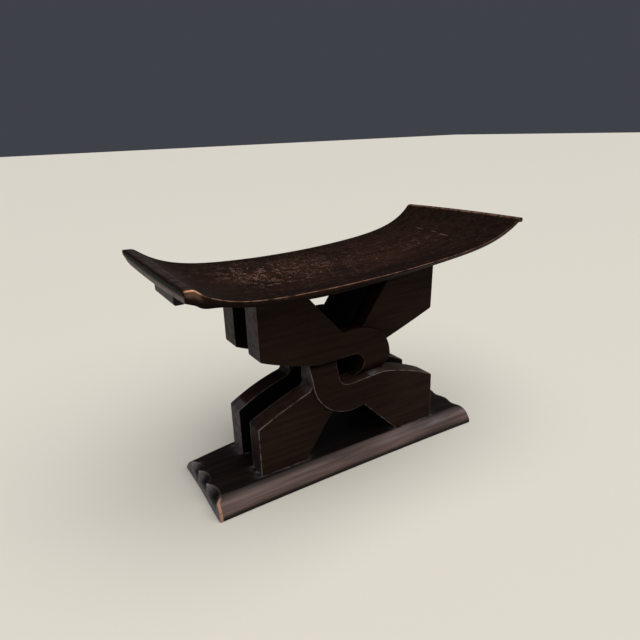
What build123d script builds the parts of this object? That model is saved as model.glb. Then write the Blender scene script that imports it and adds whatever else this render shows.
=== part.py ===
from build123d import *
import os
from math import copysign, cos, pi, sin

# Ashanti stool. A curved seat plank stands on two knot-shaped panels, and they stand on a plank base.
# Millimetres. The origin is at the middle of the footprint, +Z is up, and the long side lies along X.
# Each panel is four members: an upper hook and a lower hook, whose curls interlock round a square hole,
# and an upper arm and a lower arm, which pass behind the curls. The rear panel mirrors the front one.

# Base plank
BASE_LENGTH = 500.0  # at the floor
BASE_LEFT_LEAN = 3.0  # how far the left end leans in between the floor and the top
BASE_RIGHT_LEAN = 11.0
BASE_THICKNESS = 31.0
BASE_END_DEPTH = 162.0  # across the ends, at the floor
BASE_WAIST_DEPTH = 151.0  # across the middle, at the floor
BASE_LEDGE = 1.5  # flat top that shows outside each panel
BASE_BELLY = 4.0  # how far the sloping long sides bulge
BASE_RIM = 2.5  # upright rim at the floor
BASE_STATIONS = (-1, -0.5, 0, 0.5, 1)  # where its sections are lofted, as shares of half its length

# Panels
PANEL_THICKNESS = 38.5
PANEL_GAP = 41.0  # clear space between the two panels
TONGUE_THICKNESS = 19.5  # back part of a panel that passes behind a neighbour
ARM_SET_BACK = 5.0  # how far the faces of the plain arms lie behind the faces of the hooks
KNOT_HEIGHT = 168.0  # middle of the hole above the floor
HOLE_HALF_WIDTH = 24.5
HOLE_SQUARENESS = 2.7  # exponent of the outline: 2 is a circle, more is squarer
TONGUE_REACH = 51.0  # how far a hook's tongue runs past the knot's mid height
TONGUE_INNER_REACH = 14.0  # inner side of a tongue, past the hole
TIP_SLOPE = 30.0  # length over which a hook's face falls back towards its tongue
TIP_STEP = 2.0  # step left between that slope and the tongue
CORNER_ROUND = 4.0  # outer corner of a hook or an arm
CURL_POINTS = 24  # points that the spline round a curl or the hole runs through
LAP_LENGTH = 30.0  # how far a plain arm runs in behind a curl

# Upper hook, at the upper left. Rises and reaches are measured from the middle of the knot.
UPPER_HOOK_REACH = 159.0
UPPER_HOOK_CORNER_RISE = 51.5
UPPER_HOOK_CORNER_ROUND = 6.0
UPPER_HOOK_KNEE_REACH = 60.0
UPPER_HOOK_KNEE_RISE = 22.5
UPPER_HOOK_BULGE = 2.8
UPPER_HOOK_ROOT_REACH = 14.5  # where its inner edge springs from the curl
UPPER_HOOK_ROOT_RISE = 66.0
UPPER_HOOK_INNER_REACH = 85.0  # inner edge where it meets the seat
UPPER_CURL_REACH = 76.0
UPPER_CURL_RISE = 69.0
UPPER_CURL_SQUARENESS = 2.45

# Lower hook, at the lower right
LOWER_HOOK_REACH = 169.5
LOWER_HOOK_CORNER_RISE = 54.0
LOWER_HOOK_KNEE_REACH = 62.0
LOWER_HOOK_KNEE_RISE = 20.0
LOWER_HOOK_BULGE = 4.0
LOWER_HOOK_ROOT_REACH = 24.0
LOWER_HOOK_ROOT_RISE = 70.5
LOWER_HOOK_INNER_REACH = 90.0
LOWER_CURL_REACH = 72.5
LOWER_CURL_RISE = 72.5
LOWER_CURL_SQUARENESS = 2.05

# Upper arm, at the upper right
UPPER_ARM_HEAD_REACH = 170.5  # at the seat
UPPER_ARM_REACH = 166.5  # at its outer corner
UPPER_ARM_CORNER_RISE = 69.5
UPPER_ARM_CURL_REACH = 69.0  # where its outer edge goes behind the curl
UPPER_ARM_CURL_RISE = 34.3
UPPER_ARM_BULGE = 0.5
UPPER_ARM_ROOT_REACH = 25.5
UPPER_ARM_ROOT_RISE = 68.5
UPPER_ARM_INNER_REACH = 98.0

# Lower arm, at the lower left
LOWER_ARM_REACH = 167.0
LOWER_ARM_CORNER_RISE = 57.5
LOWER_ARM_CURL_REACH = 76.0
LOWER_ARM_CURL_RISE = 20.0
LOWER_ARM_BULGE = 1.5
LOWER_ARM_ROOT_REACH = 35.0
LOWER_ARM_ROOT_RISE = 65.0
LOWER_ARM_INNER_REACH = 87.0

# Seat plank
SEAT_LENGTH = 570.0
SEAT_END_DEPTH = 276.0
SEAT_WAIST_DEPTH = 250.0
SEAT_EDGE_HEIGHT = 331.5  # top of the long edges at mid length
SEAT_LONG_RISE = 19.5  # rise of the gentle curve from the middle to an end
SEAT_TIP_RISE = 27.5  # further rise of the turned-up tips
SEAT_TIP_POWER = 7  # the tips rise with this power of the distance from the middle
SEAT_LEAN = 8.5  # the right end stands this much higher, and the left end lower
SEAT_LEFT_FLAT = 17.0  # level strip that ends the left tip
SEAT_RIGHT_FLAT = 8.0  # level strip that ends the right tip
SEAT_TILT = 2.3  # the front edge stands this much higher, and the rear edge lower
SEAT_TWIST = 2.2  # more tilt at the right end, and less at the left one
SEAT_END_TWIST = 3.0  # tilt that both tips lose again
SEAT_END_TWIST_POWER = 8
SEAT_DISH = 5.0  # hollow across the middle
SEAT_END_DISH = 1.0
SEAT_CORE_THICKNESS = 27.0
SEAT_END_THICKNESS = 15.0
SEAT_EDGE_THICKNESS = 8.0
SEAT_LEFT_CORNER_THICKNESS = 15.0
SEAT_RIGHT_CORNER_THICKNESS = 5.5
SEAT_CORNER_POWER = 4  # the edges' thickness changes with this power of the distance from the middle
SEAT_STATIONS = (0.92, 0.82, 0.66, 0.4)  # where its sections are lofted, as shares of the way to a tip
HOUSING_COVER = 10.5  # wood left over the flat housings that take the panels' heads

# Grip lugs under the seat's ends
LUG_INSET = 19.0  # from the seat's end to the lug's outer face
LUG_WIDTH = 16.0  # along the seat
LUG_LENGTH = 92.0  # across the seat
LUG_DROP = 26.0  # below the seat at the outer face
LUG_ROUND = 3.0
LUG_HOUSING = 3.5  # how deep the lug is let into the seat

# Dowels
DOWEL_DIAMETER = 10.0
DOWEL_IN_MEMBER = 28.0
DOWEL_IN_BASE = 20.0
DOWEL_IN_SEAT = 5.0
DOWEL_EDGE = 22.0  # from a member's outer end to the middle of its first dowel
DOWEL_SPACING = 32.0
LUG_DOWEL_DIAMETER = 7.0
LUG_DOWEL_IN_LUG = 9.0
LUG_DOWEL_IN_SEAT = 7.0
LUG_DOWEL_SPACING = 50.0

# Clearances
SIDE_CLEARANCE = 0.15  # round the sides of a lap, a tongue or a housing
BORE_CLEARANCE = 0.1  # round a dowel
BORE_END_CLEARANCE = 1.0  # past the upper end of a dowel

PANEL_INNER = PANEL_GAP / 2
PANEL_OUTER = PANEL_INNER + PANEL_THICKNESS
PANEL_MID = PANEL_INNER + TONGUE_THICKNESS
DOWEL_PLACE = PANEL_INNER + PANEL_THICKNESS / 2
HALF_SEAT = SEAT_LENGTH / 2
BIG = 2 * SEAT_LENGTH

os.makedirs("parts", exist_ok=True)


def share_along(x):
    """Distance from the middle of the seat, as a share of half its length."""
    return x / HALF_SEAT


def tip_reach(x):
    """How far the curve reaches from the middle, on the side of x, before the level strip begins."""
    return HALF_SEAT - (SEAT_LEFT_FLAT if x < 0 else SEAT_RIGHT_FLAT)


def curve_share(x):
    """The share along, held where a level strip begins."""
    reach = tip_reach(x) / HALF_SEAT
    return max(-reach, min(reach, share_along(x)))


def seat_edge_height(x):
    """Top of the seat's long edges: a gentle square curve, a high power for the tips, and the lean."""
    along = curve_share(x)
    tip = abs(along * HALF_SEAT / tip_reach(x)) ** SEAT_TIP_POWER
    return SEAT_EDGE_HEIGHT + SEAT_LEAN * along + SEAT_LONG_RISE * along**2 + SEAT_TIP_RISE * tip


def seat_edge_slope(x):
    """Slope of that curve, where it isn't level."""
    gentle = (SEAT_LEAN + 2 * SEAT_LONG_RISE * share_along(x)) / HALF_SEAT
    tip = abs(x / tip_reach(x)) ** (SEAT_TIP_POWER - 1) * SEAT_TIP_POWER * SEAT_TIP_RISE / tip_reach(x)
    return gentle + copysign(tip, x)


def seat_tilt(x):
    """How much the front edge stands higher, and the rear edge lower, than the centre's own curve."""
    along = curve_share(x)
    return SEAT_TILT + SEAT_TWIST * along - SEAT_END_TWIST * along**SEAT_END_TWIST_POWER


def blend(middle, end, x):
    """A size that changes from the middle of the seat to its ends with the square of the distance."""
    return middle + (end - middle) * share_along(x) ** 2


def seat_centre_top(x):
    """Top of the seat along its centre line."""
    return seat_edge_height(x) - blend(SEAT_DISH, SEAT_END_DISH, x)


def seat_centre_bottom(x):
    """Underside of the seat along its centre line."""
    return seat_centre_top(x) - blend(SEAT_CORE_THICKNESS, SEAT_END_THICKNESS, x)


def slab(outline, near, far):
    """An outline of x and z, as thick as the way from one depth behind the front to another."""
    return extrude(Plane.XZ.offset(far) * outline, near - far)


def closed_curve(reach, rise, squareness):
    """A rounded square: |x| / reach and |z| / rise, each to the power squareness, add up to one."""
    points = []
    for step in range(CURL_POINTS):
        angle = 2 * pi * step / CURL_POINTS
        across = abs(cos(angle)) ** (2 / squareness)
        up = abs(sin(angle)) ** (2 / squareness)
        points.append((copysign(reach * across, cos(angle)), copysign(rise * up, sin(angle))))
    return make_face(Spline(*points, periodic=True))


def bulged_edge(start, end, bulge):
    """An arc from start to end that stands out to the right of the way by the bulge."""
    middle = ((start[0] + end[0]) / 2, (start[1] + end[1]) / 2)
    run = (end[0] - start[0], end[1] - start[1])
    length = (run[0] ** 2 + run[1] ** 2) ** 0.5
    out = (middle[0] + run[1] / length * bulge, middle[1] - run[0] / length * bulge)
    return ThreePointArc(start, out, end)


def outline_of(lines):
    """A face whose border is the given lines, joined at their ends."""
    return make_face(Curve() + lines)


def grown(outline, margin):
    """An outline of lines and arcs with a margin added all round."""
    if margin == 0:
        return outline
    return offset(outline, margin, kind=Kind.INTERSECTION)


def rounded_corner(outline, corner, radius):
    """The outline with the corner that lies at a point rounded."""
    return fillet(outline.vertices().sort_by_distance(corner)[0], radius)


def hook_outline(
        reach, corner, corner_round, knee, bulge, root, inner_reach, contact, curl, squareness, margin):
    """A hook's arm and curl about the knot's middle, with the arm at the upper left."""
    curl_reach, curl_rise = curl
    head = (-reach, contact)
    tip = (-reach, corner)
    low = (-knee[0], knee[1])
    hole_top = (0, HOLE_HALF_WIDTH)
    curl_top = (0, curl_rise)
    spring = (-root[0], root[1])
    inner = (-inner_reach, contact)
    arm = outline_of([
        Line(head, tip),
        bulged_edge(tip, low, bulge),
        Line(low, hole_top),
        Line(hole_top, curl_top),
        Line(curl_top, spring),
        Line(spring, inner),
        Line(inner, head),
    ])
    hole = closed_curve(HOLE_HALF_WIDTH - margin, HOLE_HALF_WIDTH - margin, HOLE_SQUARENESS)
    ring = closed_curve(curl_reach + margin, curl_rise + margin, squareness) - hole
    half = Pos(BIG / 2, 0) * Rectangle(BIG, BIG)
    bend = ring & half & (Pos(0, BIG / 2) * Rectangle(BIG, BIG))
    inner_side = TONGUE_INNER_REACH - margin
    tongue_room = make_face(Polyline(
        (inner_side, 0),
        (BIG, 0),
        (BIG, -TONGUE_REACH - margin),
        (inner_side, -TONGUE_REACH - margin),
        close=True))
    return grown(rounded_corner(arm, tip, corner_round), margin) + bend + (ring & tongue_room)


def arm_outline(head_reach, corner, curl, bulge, root, inner_reach, contact, margin):
    """A plain arm about the knot's middle, at the upper right, with its lap behind the curl."""
    head = (head_reach, contact)
    inner = (inner_reach, contact)
    run = (inner[0] - root[0], inner[1] - root[1])
    length = (run[0] ** 2 + run[1] ** 2) ** 0.5
    step = (-run[0] / length * LAP_LENGTH, -run[1] / length * LAP_LENGTH)
    lap_inner = (root[0] + step[0], root[1] + step[1])
    lap_outer = (curl[0] + step[0], curl[1] + step[1])
    outline = outline_of([
        Line(inner, root),
        Line(root, lap_inner),
        Line(lap_inner, lap_outer),
        Line(lap_outer, curl),
        bulged_edge(curl, corner, bulge),
        Line(corner, head),
        Line(head, inner),
    ])
    return grown(rounded_corner(outline, corner, CORNER_ROUND), margin)


def turned(outline):
    """The outline half a turn about the knot's middle."""
    return Rot(0, 0, 180) * outline


def placed(outline):
    """The outline with the knot's middle at its height above the floor."""
    return Pos(0, KNOT_HEIGHT) * outline


def head_height(inner_reach, reach):
    """Flat top of a member's head, let into the seat over the middle of its reach."""
    return seat_centre_top((inner_reach + reach) / 2) - HOUSING_COVER


def panel_outlines(margin=0.0):
    """Outlines of a panel's four members, by name, with a margin all round."""
    hook_contact = head_height(-UPPER_HOOK_INNER_REACH, -UPPER_HOOK_REACH) - KNOT_HEIGHT
    arm_contact = head_height(UPPER_ARM_INNER_REACH, UPPER_ARM_HEAD_REACH) - KNOT_HEIGHT
    foot_contact = KNOT_HEIGHT - BASE_THICKNESS
    upper_hook = hook_outline(
        UPPER_HOOK_REACH, UPPER_HOOK_CORNER_RISE, UPPER_HOOK_CORNER_ROUND,
        (UPPER_HOOK_KNEE_REACH, UPPER_HOOK_KNEE_RISE), UPPER_HOOK_BULGE,
        (UPPER_HOOK_ROOT_REACH, UPPER_HOOK_ROOT_RISE), UPPER_HOOK_INNER_REACH, hook_contact,
        (UPPER_CURL_REACH, UPPER_CURL_RISE), UPPER_CURL_SQUARENESS, margin)
    lower_hook = hook_outline(
        LOWER_HOOK_REACH, LOWER_HOOK_CORNER_RISE, CORNER_ROUND,
        (LOWER_HOOK_KNEE_REACH, LOWER_HOOK_KNEE_RISE), LOWER_HOOK_BULGE,
        (LOWER_HOOK_ROOT_REACH, LOWER_HOOK_ROOT_RISE), LOWER_HOOK_INNER_REACH, foot_contact,
        (LOWER_CURL_REACH, LOWER_CURL_RISE), LOWER_CURL_SQUARENESS, margin)
    upper_arm = arm_outline(
        UPPER_ARM_HEAD_REACH, (UPPER_ARM_REACH, UPPER_ARM_CORNER_RISE),
        (UPPER_ARM_CURL_REACH, UPPER_ARM_CURL_RISE), UPPER_ARM_BULGE,
        (UPPER_ARM_ROOT_REACH, UPPER_ARM_ROOT_RISE), UPPER_ARM_INNER_REACH, arm_contact, margin)
    lower_arm = arm_outline(
        LOWER_ARM_REACH, (LOWER_ARM_REACH, LOWER_ARM_CORNER_RISE),
        (LOWER_ARM_CURL_REACH, LOWER_ARM_CURL_RISE), LOWER_ARM_BULGE,
        (LOWER_ARM_ROOT_REACH, LOWER_ARM_ROOT_RISE), LOWER_ARM_INNER_REACH, foot_contact, margin)
    return {
        "upper_hook": placed(upper_hook),
        "lower_hook": placed(turned(lower_hook)),
        "upper_arm": placed(upper_arm),
        "lower_arm": placed(turned(lower_arm)),
    }


def right_of_knot(outline):
    """The part of an outline on the right of the knot's middle."""
    return outline & (Pos(BIG / 2, 0) * Rectangle(BIG, BIG))


def left_of_knot(outline):
    """The part of an outline on the left of the knot's middle."""
    return outline & (Pos(-BIG / 2, 0) * Rectangle(BIG, BIG))


def tip_wedge(side):
    """What is cut from a hook's face, so that it falls back to its tongue. Side is 1 for the upper hook."""
    knee_rise = LOWER_HOOK_KNEE_RISE if side > 0 else UPPER_HOOK_KNEE_RISE
    meeting = KNOT_HEIGHT - side * knee_rise
    hidden = meeting - side * HOLE_HALF_WIDTH
    profile = make_face(Polyline(
        (-PANEL_OUTER, meeting + side * TIP_SLOPE),
        (-PANEL_OUTER, hidden),
        (-PANEL_MID - TIP_STEP, hidden),
        (-PANEL_MID - TIP_STEP, meeting),
        close=True))
    return extrude(Plane.YZ * profile, side * BIG)


def front_members():
    """Solids of the front panel's four members, by name."""
    exact = panel_outlines()
    room = panel_outlines(SIDE_CLEARANCE)
    solids = {}
    solids["upper_hook"] = (
        slab(exact["upper_hook"], PANEL_OUTER, PANEL_INNER)
        - slab(right_of_knot(room["lower_hook"]), PANEL_OUTER, PANEL_MID)
        - slab(left_of_knot(room["lower_hook"]), PANEL_MID, PANEL_INNER)
        - slab(room["upper_arm"], PANEL_MID, PANEL_INNER)
        - tip_wedge(1))
    solids["lower_hook"] = (
        slab(exact["lower_hook"], PANEL_OUTER, PANEL_INNER)
        - slab(left_of_knot(room["upper_hook"]), PANEL_OUTER, PANEL_MID)
        - slab(right_of_knot(room["upper_hook"]), PANEL_MID, PANEL_INNER)
        - slab(room["lower_arm"], PANEL_MID, PANEL_INNER)
        - tip_wedge(-1))
    face = PANEL_OUTER - ARM_SET_BACK
    for arm, hook in (("upper_arm", "upper_hook"), ("lower_arm", "lower_hook")):
        solids[arm] = (
            slab(exact[arm], PANEL_MID, PANEL_INNER)
            + slab(exact[arm] - room[hook], face, PANEL_MID))
    return solids


def edge_thickness(x):
    """Thickness of the seat's long edges."""
    corner = SEAT_LEFT_CORNER_THICKNESS if x < 0 else SEAT_RIGHT_CORNER_THICKNESS
    return SEAT_EDGE_THICKNESS + (corner - SEAT_EDGE_THICKNESS) * share_along(x) ** SEAT_CORNER_POWER


def seat_section(x):
    """Section of the seat across its length: a dished top, upright edges and a belly underneath."""
    half = blend(SEAT_WAIST_DEPTH, SEAT_END_DEPTH, x) / 2
    front = seat_edge_height(x) + seat_tilt(x)
    rear = seat_edge_height(x) - seat_tilt(x)
    thickness = edge_thickness(x)
    face = outline_of([
        ThreePointArc((-half, front), (0, seat_centre_top(x)), (half, rear)),
        Line((half, rear), (half, rear - thickness)),
        ThreePointArc((half, rear - thickness), (0, seat_centre_bottom(x)), (-half, front - thickness)),
        Line((-half, front - thickness), (-half, front)),
    ])
    return Plane.YZ.offset(x) * face


def seat_blank():
    """The seat plank before its housings and bores: a curved stretch between two level strips."""
    left, right = -tip_reach(-1), tip_reach(1)
    stations = [left] + [left * share for share in SEAT_STATIONS] + [0.0]
    stations += [right * share for share in reversed(SEAT_STATIONS)] + [right]
    curved = loft([seat_section(x) for x in stations])
    left_strip = loft([seat_section(-HALF_SEAT), seat_section(left)], ruled=True)
    right_strip = loft([seat_section(right), seat_section(HALF_SEAT)], ruled=True)
    return curved + left_strip + right_strip


def head_housing(outline, inner_reach, reach):
    """The housing in the seat for the head of a member."""
    top = head_height(inner_reach, reach)
    below = Pos(0, top - BIG / 2) * Rectangle(BIG, BIG)
    return slab(outline & below, PANEL_OUTER + SIDE_CLEARANCE, PANEL_INNER - SIDE_CLEARANCE)


def lug(side, margin=0.0):
    """A grip lug under the seat's end. Its top follows the seat's slope, let in by the housing's depth."""
    outer = side * (HALF_SEAT - LUG_INSET + margin)
    inner = side * (HALF_SEAT - LUG_INSET - LUG_WIDTH - margin)
    middle = side * (HALF_SEAT - LUG_INSET - LUG_WIDTH / 2)
    floor = seat_centre_bottom(side * (HALF_SEAT - LUG_INSET)) - LUG_DROP
    height = seat_centre_bottom(middle) + LUG_HOUSING
    slope = seat_edge_slope(middle)
    profile = make_face(Polyline(
        (outer, floor),
        (outer, height + slope * (outer - middle)),
        (inner, height + slope * (inner - middle)),
        (inner, floor),
        close=True))
    half = LUG_LENGTH / 2 + margin
    return slab(profile, half, -half)


def rounded_lug(side):
    """The lug with its lower edges rounded."""
    block = lug(side)
    lower = block.edges().group_by(Axis.Z)[0]
    return fillet(lower, LUG_ROUND)


def dowel(x, y, foot, length, diameter):
    """An upright dowel from its foot."""
    return Pos(x, y, foot) * Cylinder(diameter / 2, length, align=(Align.CENTER, Align.CENTER, Align.MIN))


def dowel_reaches(reach):
    """Where a member's two dowels stand, from the knot's middle."""
    return (reach - DOWEL_EDGE, reach - DOWEL_EDGE - DOWEL_SPACING)


def panel_dowels(margin=0.0, end=0.0):
    """Dowels between the panels and the seat and base, or their bores with a margin."""
    seat_set, base_set = [], []
    width = DOWEL_DIAMETER + 2 * margin
    heads = [
        (-1, UPPER_HOOK_REACH, head_height(-UPPER_HOOK_INNER_REACH, -UPPER_HOOK_REACH)),
        (1, UPPER_ARM_HEAD_REACH, head_height(UPPER_ARM_INNER_REACH, UPPER_ARM_HEAD_REACH)),
    ]
    feet = [(-1, LOWER_ARM_REACH), (1, LOWER_HOOK_REACH)]
    for y in (-DOWEL_PLACE, DOWEL_PLACE):
        for side, reach, height in heads:
            for x in dowel_reaches(reach):
                length = DOWEL_IN_MEMBER + DOWEL_IN_SEAT + end
                seat_set.append(dowel(side * x, y, height - DOWEL_IN_MEMBER, length, width))
        for side, reach in feet:
            for x in dowel_reaches(reach):
                length = DOWEL_IN_BASE + DOWEL_IN_MEMBER + end
                base_set.append(dowel(side * x, y, BASE_THICKNESS - DOWEL_IN_BASE, length, width))
    return seat_set, base_set


def lug_dowels(margin=0.0, end=0.0):
    """Dowels between the lugs and the seat, or their bores with a margin."""
    rods = []
    for side in (-1, 1):
        x = side * (HALF_SEAT - LUG_INSET - LUG_WIDTH / 2)
        height = seat_centre_bottom(x) + LUG_HOUSING
        for y in (-LUG_DOWEL_SPACING / 2, LUG_DOWEL_SPACING / 2):
            length = LUG_DOWEL_IN_LUG + LUG_DOWEL_IN_SEAT + end
            rods.append(dowel(x, y, height - LUG_DOWEL_IN_LUG, length, LUG_DOWEL_DIAMETER + 2 * margin))
    return rods


def base_section(x):
    """Section of the base across its length: bulging slopes, carried past the floor and the top."""
    half = (BASE_WAIST_DEPTH + (BASE_END_DEPTH - BASE_WAIST_DEPTH) * (2 * x / BASE_LENGTH) ** 2) / 2
    shelf = PANEL_OUTER + BASE_LEDGE
    high = 2 * BASE_THICKNESS
    low = -BASE_THICKNESS
    face = outline_of([
        Line((-half, low), (half, low)),
        Line((half, low), (half, BASE_RIM)),
        bulged_edge((half, BASE_RIM), (shelf, BASE_THICKNESS), BASE_BELLY),
        Line((shelf, BASE_THICKNESS), (shelf, high)),
        Line((shelf, high), (-shelf, high)),
        Line((-shelf, high), (-shelf, BASE_THICKNESS)),
        bulged_edge((-shelf, BASE_THICKNESS), (-half, BASE_RIM), BASE_BELLY),
        Line((-half, BASE_RIM), (-half, low)),
    ])
    return Plane.YZ.offset(x) * face


def base_plank():
    """The base, cut flat at the floor and the top, with its leaning ends."""
    half = BASE_LENGTH / 2
    plank = loft([base_section(half * share) for share in BASE_STATIONS])
    profile = make_face(Polyline(
        (-half, 0),
        (half, 0),
        (half - BASE_RIGHT_LEAN, BASE_THICKNESS),
        (BASE_LEFT_LEAN - half, BASE_THICKNESS),
        close=True))
    return plank & slab(profile, BASE_END_DEPTH, -BASE_END_DEPTH)


def save(name, shape):
    """Writes one node's STEP file."""
    export_step(shape, f"parts/{name}.step")


def main():
    room = panel_outlines(SIDE_CLEARANCE)
    members = front_members()
    seat_rods, base_rods = panel_dowels()
    seat_bores, base_bores = panel_dowels(BORE_CLEARANCE, BORE_END_CLEARANCE)
    lug_bores = lug_dowels(BORE_CLEARANCE, BORE_END_CLEARANCE)

    left_housing = head_housing(room["upper_hook"], -UPPER_HOOK_INNER_REACH, -UPPER_HOOK_REACH)
    right_housing = head_housing(room["upper_arm"], UPPER_ARM_INNER_REACH, UPPER_ARM_HEAD_REACH)
    seat = seat_blank()
    for housing in (left_housing, right_housing):
        seat = seat - housing - mirror(housing, about=Plane.XZ)
    for side in (-1, 1):
        seat = seat - lug(side, SIDE_CLEARANCE)
    for bore in seat_bores + lug_bores:
        seat = seat - bore
    save("seat", seat)

    for side, name in ((-1, "left_grip_lug"), (1, "right_grip_lug")):
        piece = rounded_lug(side)
        for bore in lug_bores:
            piece = piece - bore
        save(name, piece)

    base = base_plank()
    for bore in base_bores:
        base = base - bore
    save("base", base)

    for name, solid in members.items():
        for panel, whole in (("front", solid), ("rear", mirror(solid, about=Plane.XZ))):
            for bore in seat_bores + base_bores:
                whole = whole - bore
            save(f"{panel}_{name}", whole)

    save("seat_dowels", Compound(children=seat_rods))
    save("base_dowels", Compound(children=base_rods))
    save("lug_dowels", Compound(children=lug_dowels()))


main()
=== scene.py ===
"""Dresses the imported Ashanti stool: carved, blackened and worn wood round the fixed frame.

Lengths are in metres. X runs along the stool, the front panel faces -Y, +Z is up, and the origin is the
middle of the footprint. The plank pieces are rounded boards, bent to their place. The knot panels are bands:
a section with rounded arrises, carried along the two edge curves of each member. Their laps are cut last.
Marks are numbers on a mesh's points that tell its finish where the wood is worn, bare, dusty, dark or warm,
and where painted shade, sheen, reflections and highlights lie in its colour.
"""

import logging
import math
from collections.abc import Callable, Sequence
from dataclasses import dataclass, field, replace
from enum import Enum

import bpy
import numpy as np
from mathutils import Matrix, Vector


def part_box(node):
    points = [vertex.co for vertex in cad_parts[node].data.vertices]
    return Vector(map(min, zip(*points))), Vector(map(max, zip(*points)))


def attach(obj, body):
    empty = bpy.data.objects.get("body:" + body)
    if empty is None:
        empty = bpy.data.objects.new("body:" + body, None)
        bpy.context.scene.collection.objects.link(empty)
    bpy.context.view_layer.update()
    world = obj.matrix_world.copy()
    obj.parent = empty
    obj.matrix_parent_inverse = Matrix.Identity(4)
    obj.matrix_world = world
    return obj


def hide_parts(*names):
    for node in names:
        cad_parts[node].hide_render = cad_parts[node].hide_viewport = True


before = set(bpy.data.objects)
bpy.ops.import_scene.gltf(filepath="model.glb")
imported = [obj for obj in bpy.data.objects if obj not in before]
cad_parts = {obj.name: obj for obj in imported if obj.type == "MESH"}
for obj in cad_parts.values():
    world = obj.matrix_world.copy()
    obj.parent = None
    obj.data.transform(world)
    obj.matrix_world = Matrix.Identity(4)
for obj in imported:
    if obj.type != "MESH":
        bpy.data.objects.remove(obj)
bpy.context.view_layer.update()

Array = np.ndarray
LOG = logging.getLogger("ashanti_stool")
BODY = "root"
MM = 0.001
SHARP_ANGLE = math.radians(38)


class Slot(Enum):
    """Material slots of the record."""

    SEAT = "seat_wood"
    LUG = "lug_wood"
    PANEL = "panel_wood"
    BASE = "base_wood"


class Side(Enum):
    """The panel's place: the front one faces -Y and the rear one faces +Y."""

    FRONT = -1
    REAR = 1


class Seed(Enum):
    """Seeds of the ripples, one for each use."""

    SEAT_END_LINE = 5
    SEAT_GLOW = 11
    BASE_DUST = 21
    BASE_SHEEN = 23
    BASE_LINE = 29
    PANEL_DUST = 31


# ---------------------------------------------------------------- curves and noise


def polyline(*points: tuple[float, float]) -> Array:
    """A polyline as an array of its points.

    Args:
        points: Corners, in order.

    Returns:
        Array of shape (corners, 2).
    """
    return np.array(points, float)


def shallow_arc(start: Sequence[float], end: Sequence[float], bulge: float, count: int = 40) -> Array:
    """A shallow arc: the chord plus a parabola, bulge times 4t(1 - t), to the right of the way.

    Args:
        start: First point.
        end: Last point.
        bulge: Height of the arc over its chord.
        count: Number of points.

    Returns:
        Array of shape (count, 2).
    """
    first, last = np.asarray(start, float), np.asarray(end, float)
    share = np.linspace(0.0, 1.0, count)[:, None]
    run = last - first
    right = np.array([run[1], -run[0]]) / np.linalg.norm(run)
    return first + share * run + right * bulge * 4 * share * (1 - share)


def rounded_turn(
    before: Sequence[float], corner: Sequence[float], after: Sequence[float], radius: float, count: int = 9
) -> Array:
    """A corner rounded by a parabola: (1 - t)^2 A + 2t(1 - t) C + t^2 B, with A and B a radius from corner C.

    Args:
        before: A point on the way in.
        corner: The sharp corner.
        after: A point on the way out.
        radius: Distance of the tangent points from the corner.
        count: Number of points.

    Returns:
        Array of shape (count, 2).
    """
    middle = np.asarray(corner, float)
    way_in = np.asarray(before, float) - middle
    way_out = np.asarray(after, float) - middle
    start = middle + way_in / np.linalg.norm(way_in) * radius
    end = middle + way_out / np.linalg.norm(way_out) * radius
    share = np.linspace(0.0, 1.0, count)[:, None]
    return (1 - share) ** 2 * start + 2 * share * (1 - share) * middle + share**2 * end


def rounded_square(
    size: tuple[float, float], squareness: float, start: float, end: float, count: int = 240
) -> Array:
    """Part of a rounded square, |x / a|^n + |z / b|^n = 1, between two angles.

    Args:
        size: Half its width a and half its height b.
        squareness: The exponent n.
        start: First angle, in degrees, from +X towards +Z.
        end: Last angle, in degrees.
        count: Number of points.

    Returns:
        Array of shape (count, 2).
    """
    angle = np.radians(np.linspace(start, end, count))
    across, up = np.cos(angle), np.sin(angle)
    power = 2 / squareness
    return np.array(size) * np.column_stack(
        [np.sign(across) * np.abs(across) ** power, np.sign(up) * np.abs(up) ** power]
    )


def resampled(points: Array, count: int) -> Array:
    """Points at even steps of length along a polyline.

    Args:
        points: Corners of the polyline, of shape (n, 2).
        count: Number of points wanted.

    Returns:
        Array of shape (count, 2).
    """
    steps = np.linalg.norm(np.diff(points, axis=0), axis=1)
    way = np.concatenate([[0.0], np.cumsum(steps)])
    places = np.linspace(0.0, way[-1], count)
    return np.column_stack([np.interp(places, way, points[:, axis]) for axis in range(2)])


def left_normals(points: Array) -> Array:
    """Unit normals to the left of a curve, from central differences.

    Args:
        points: The curve, of shape (n, 2).

    Returns:
        Array of shape (n, 2).
    """
    run = np.gradient(points, axis=0)
    run /= np.linalg.norm(run, axis=1, keepdims=True)
    return np.column_stack([-run[:, 1], run[:, 0]])


def smooth(share: Array) -> Array:
    """Smooth step: 3s^2 - 2s^3 between 0 and 1, with its input held in that range."""
    held = np.clip(share, 0.0, 1.0)
    return held * held * (3 - 2 * held)


def ramp(value: Array, start: float | Array, length: float) -> Array:
    """Smooth step that leaves 0 at a start and is 1 a length further on; a negative length turns it round."""
    return smooth((value - start) / length)


def bell(value: Array, middle: float, reach: float, power: int = 2) -> Array:
    """Bell curve: exp(-d^power), with d the distance from its middle in reaches."""
    return np.exp(-(np.abs((value - middle) / reach) ** power))


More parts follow.
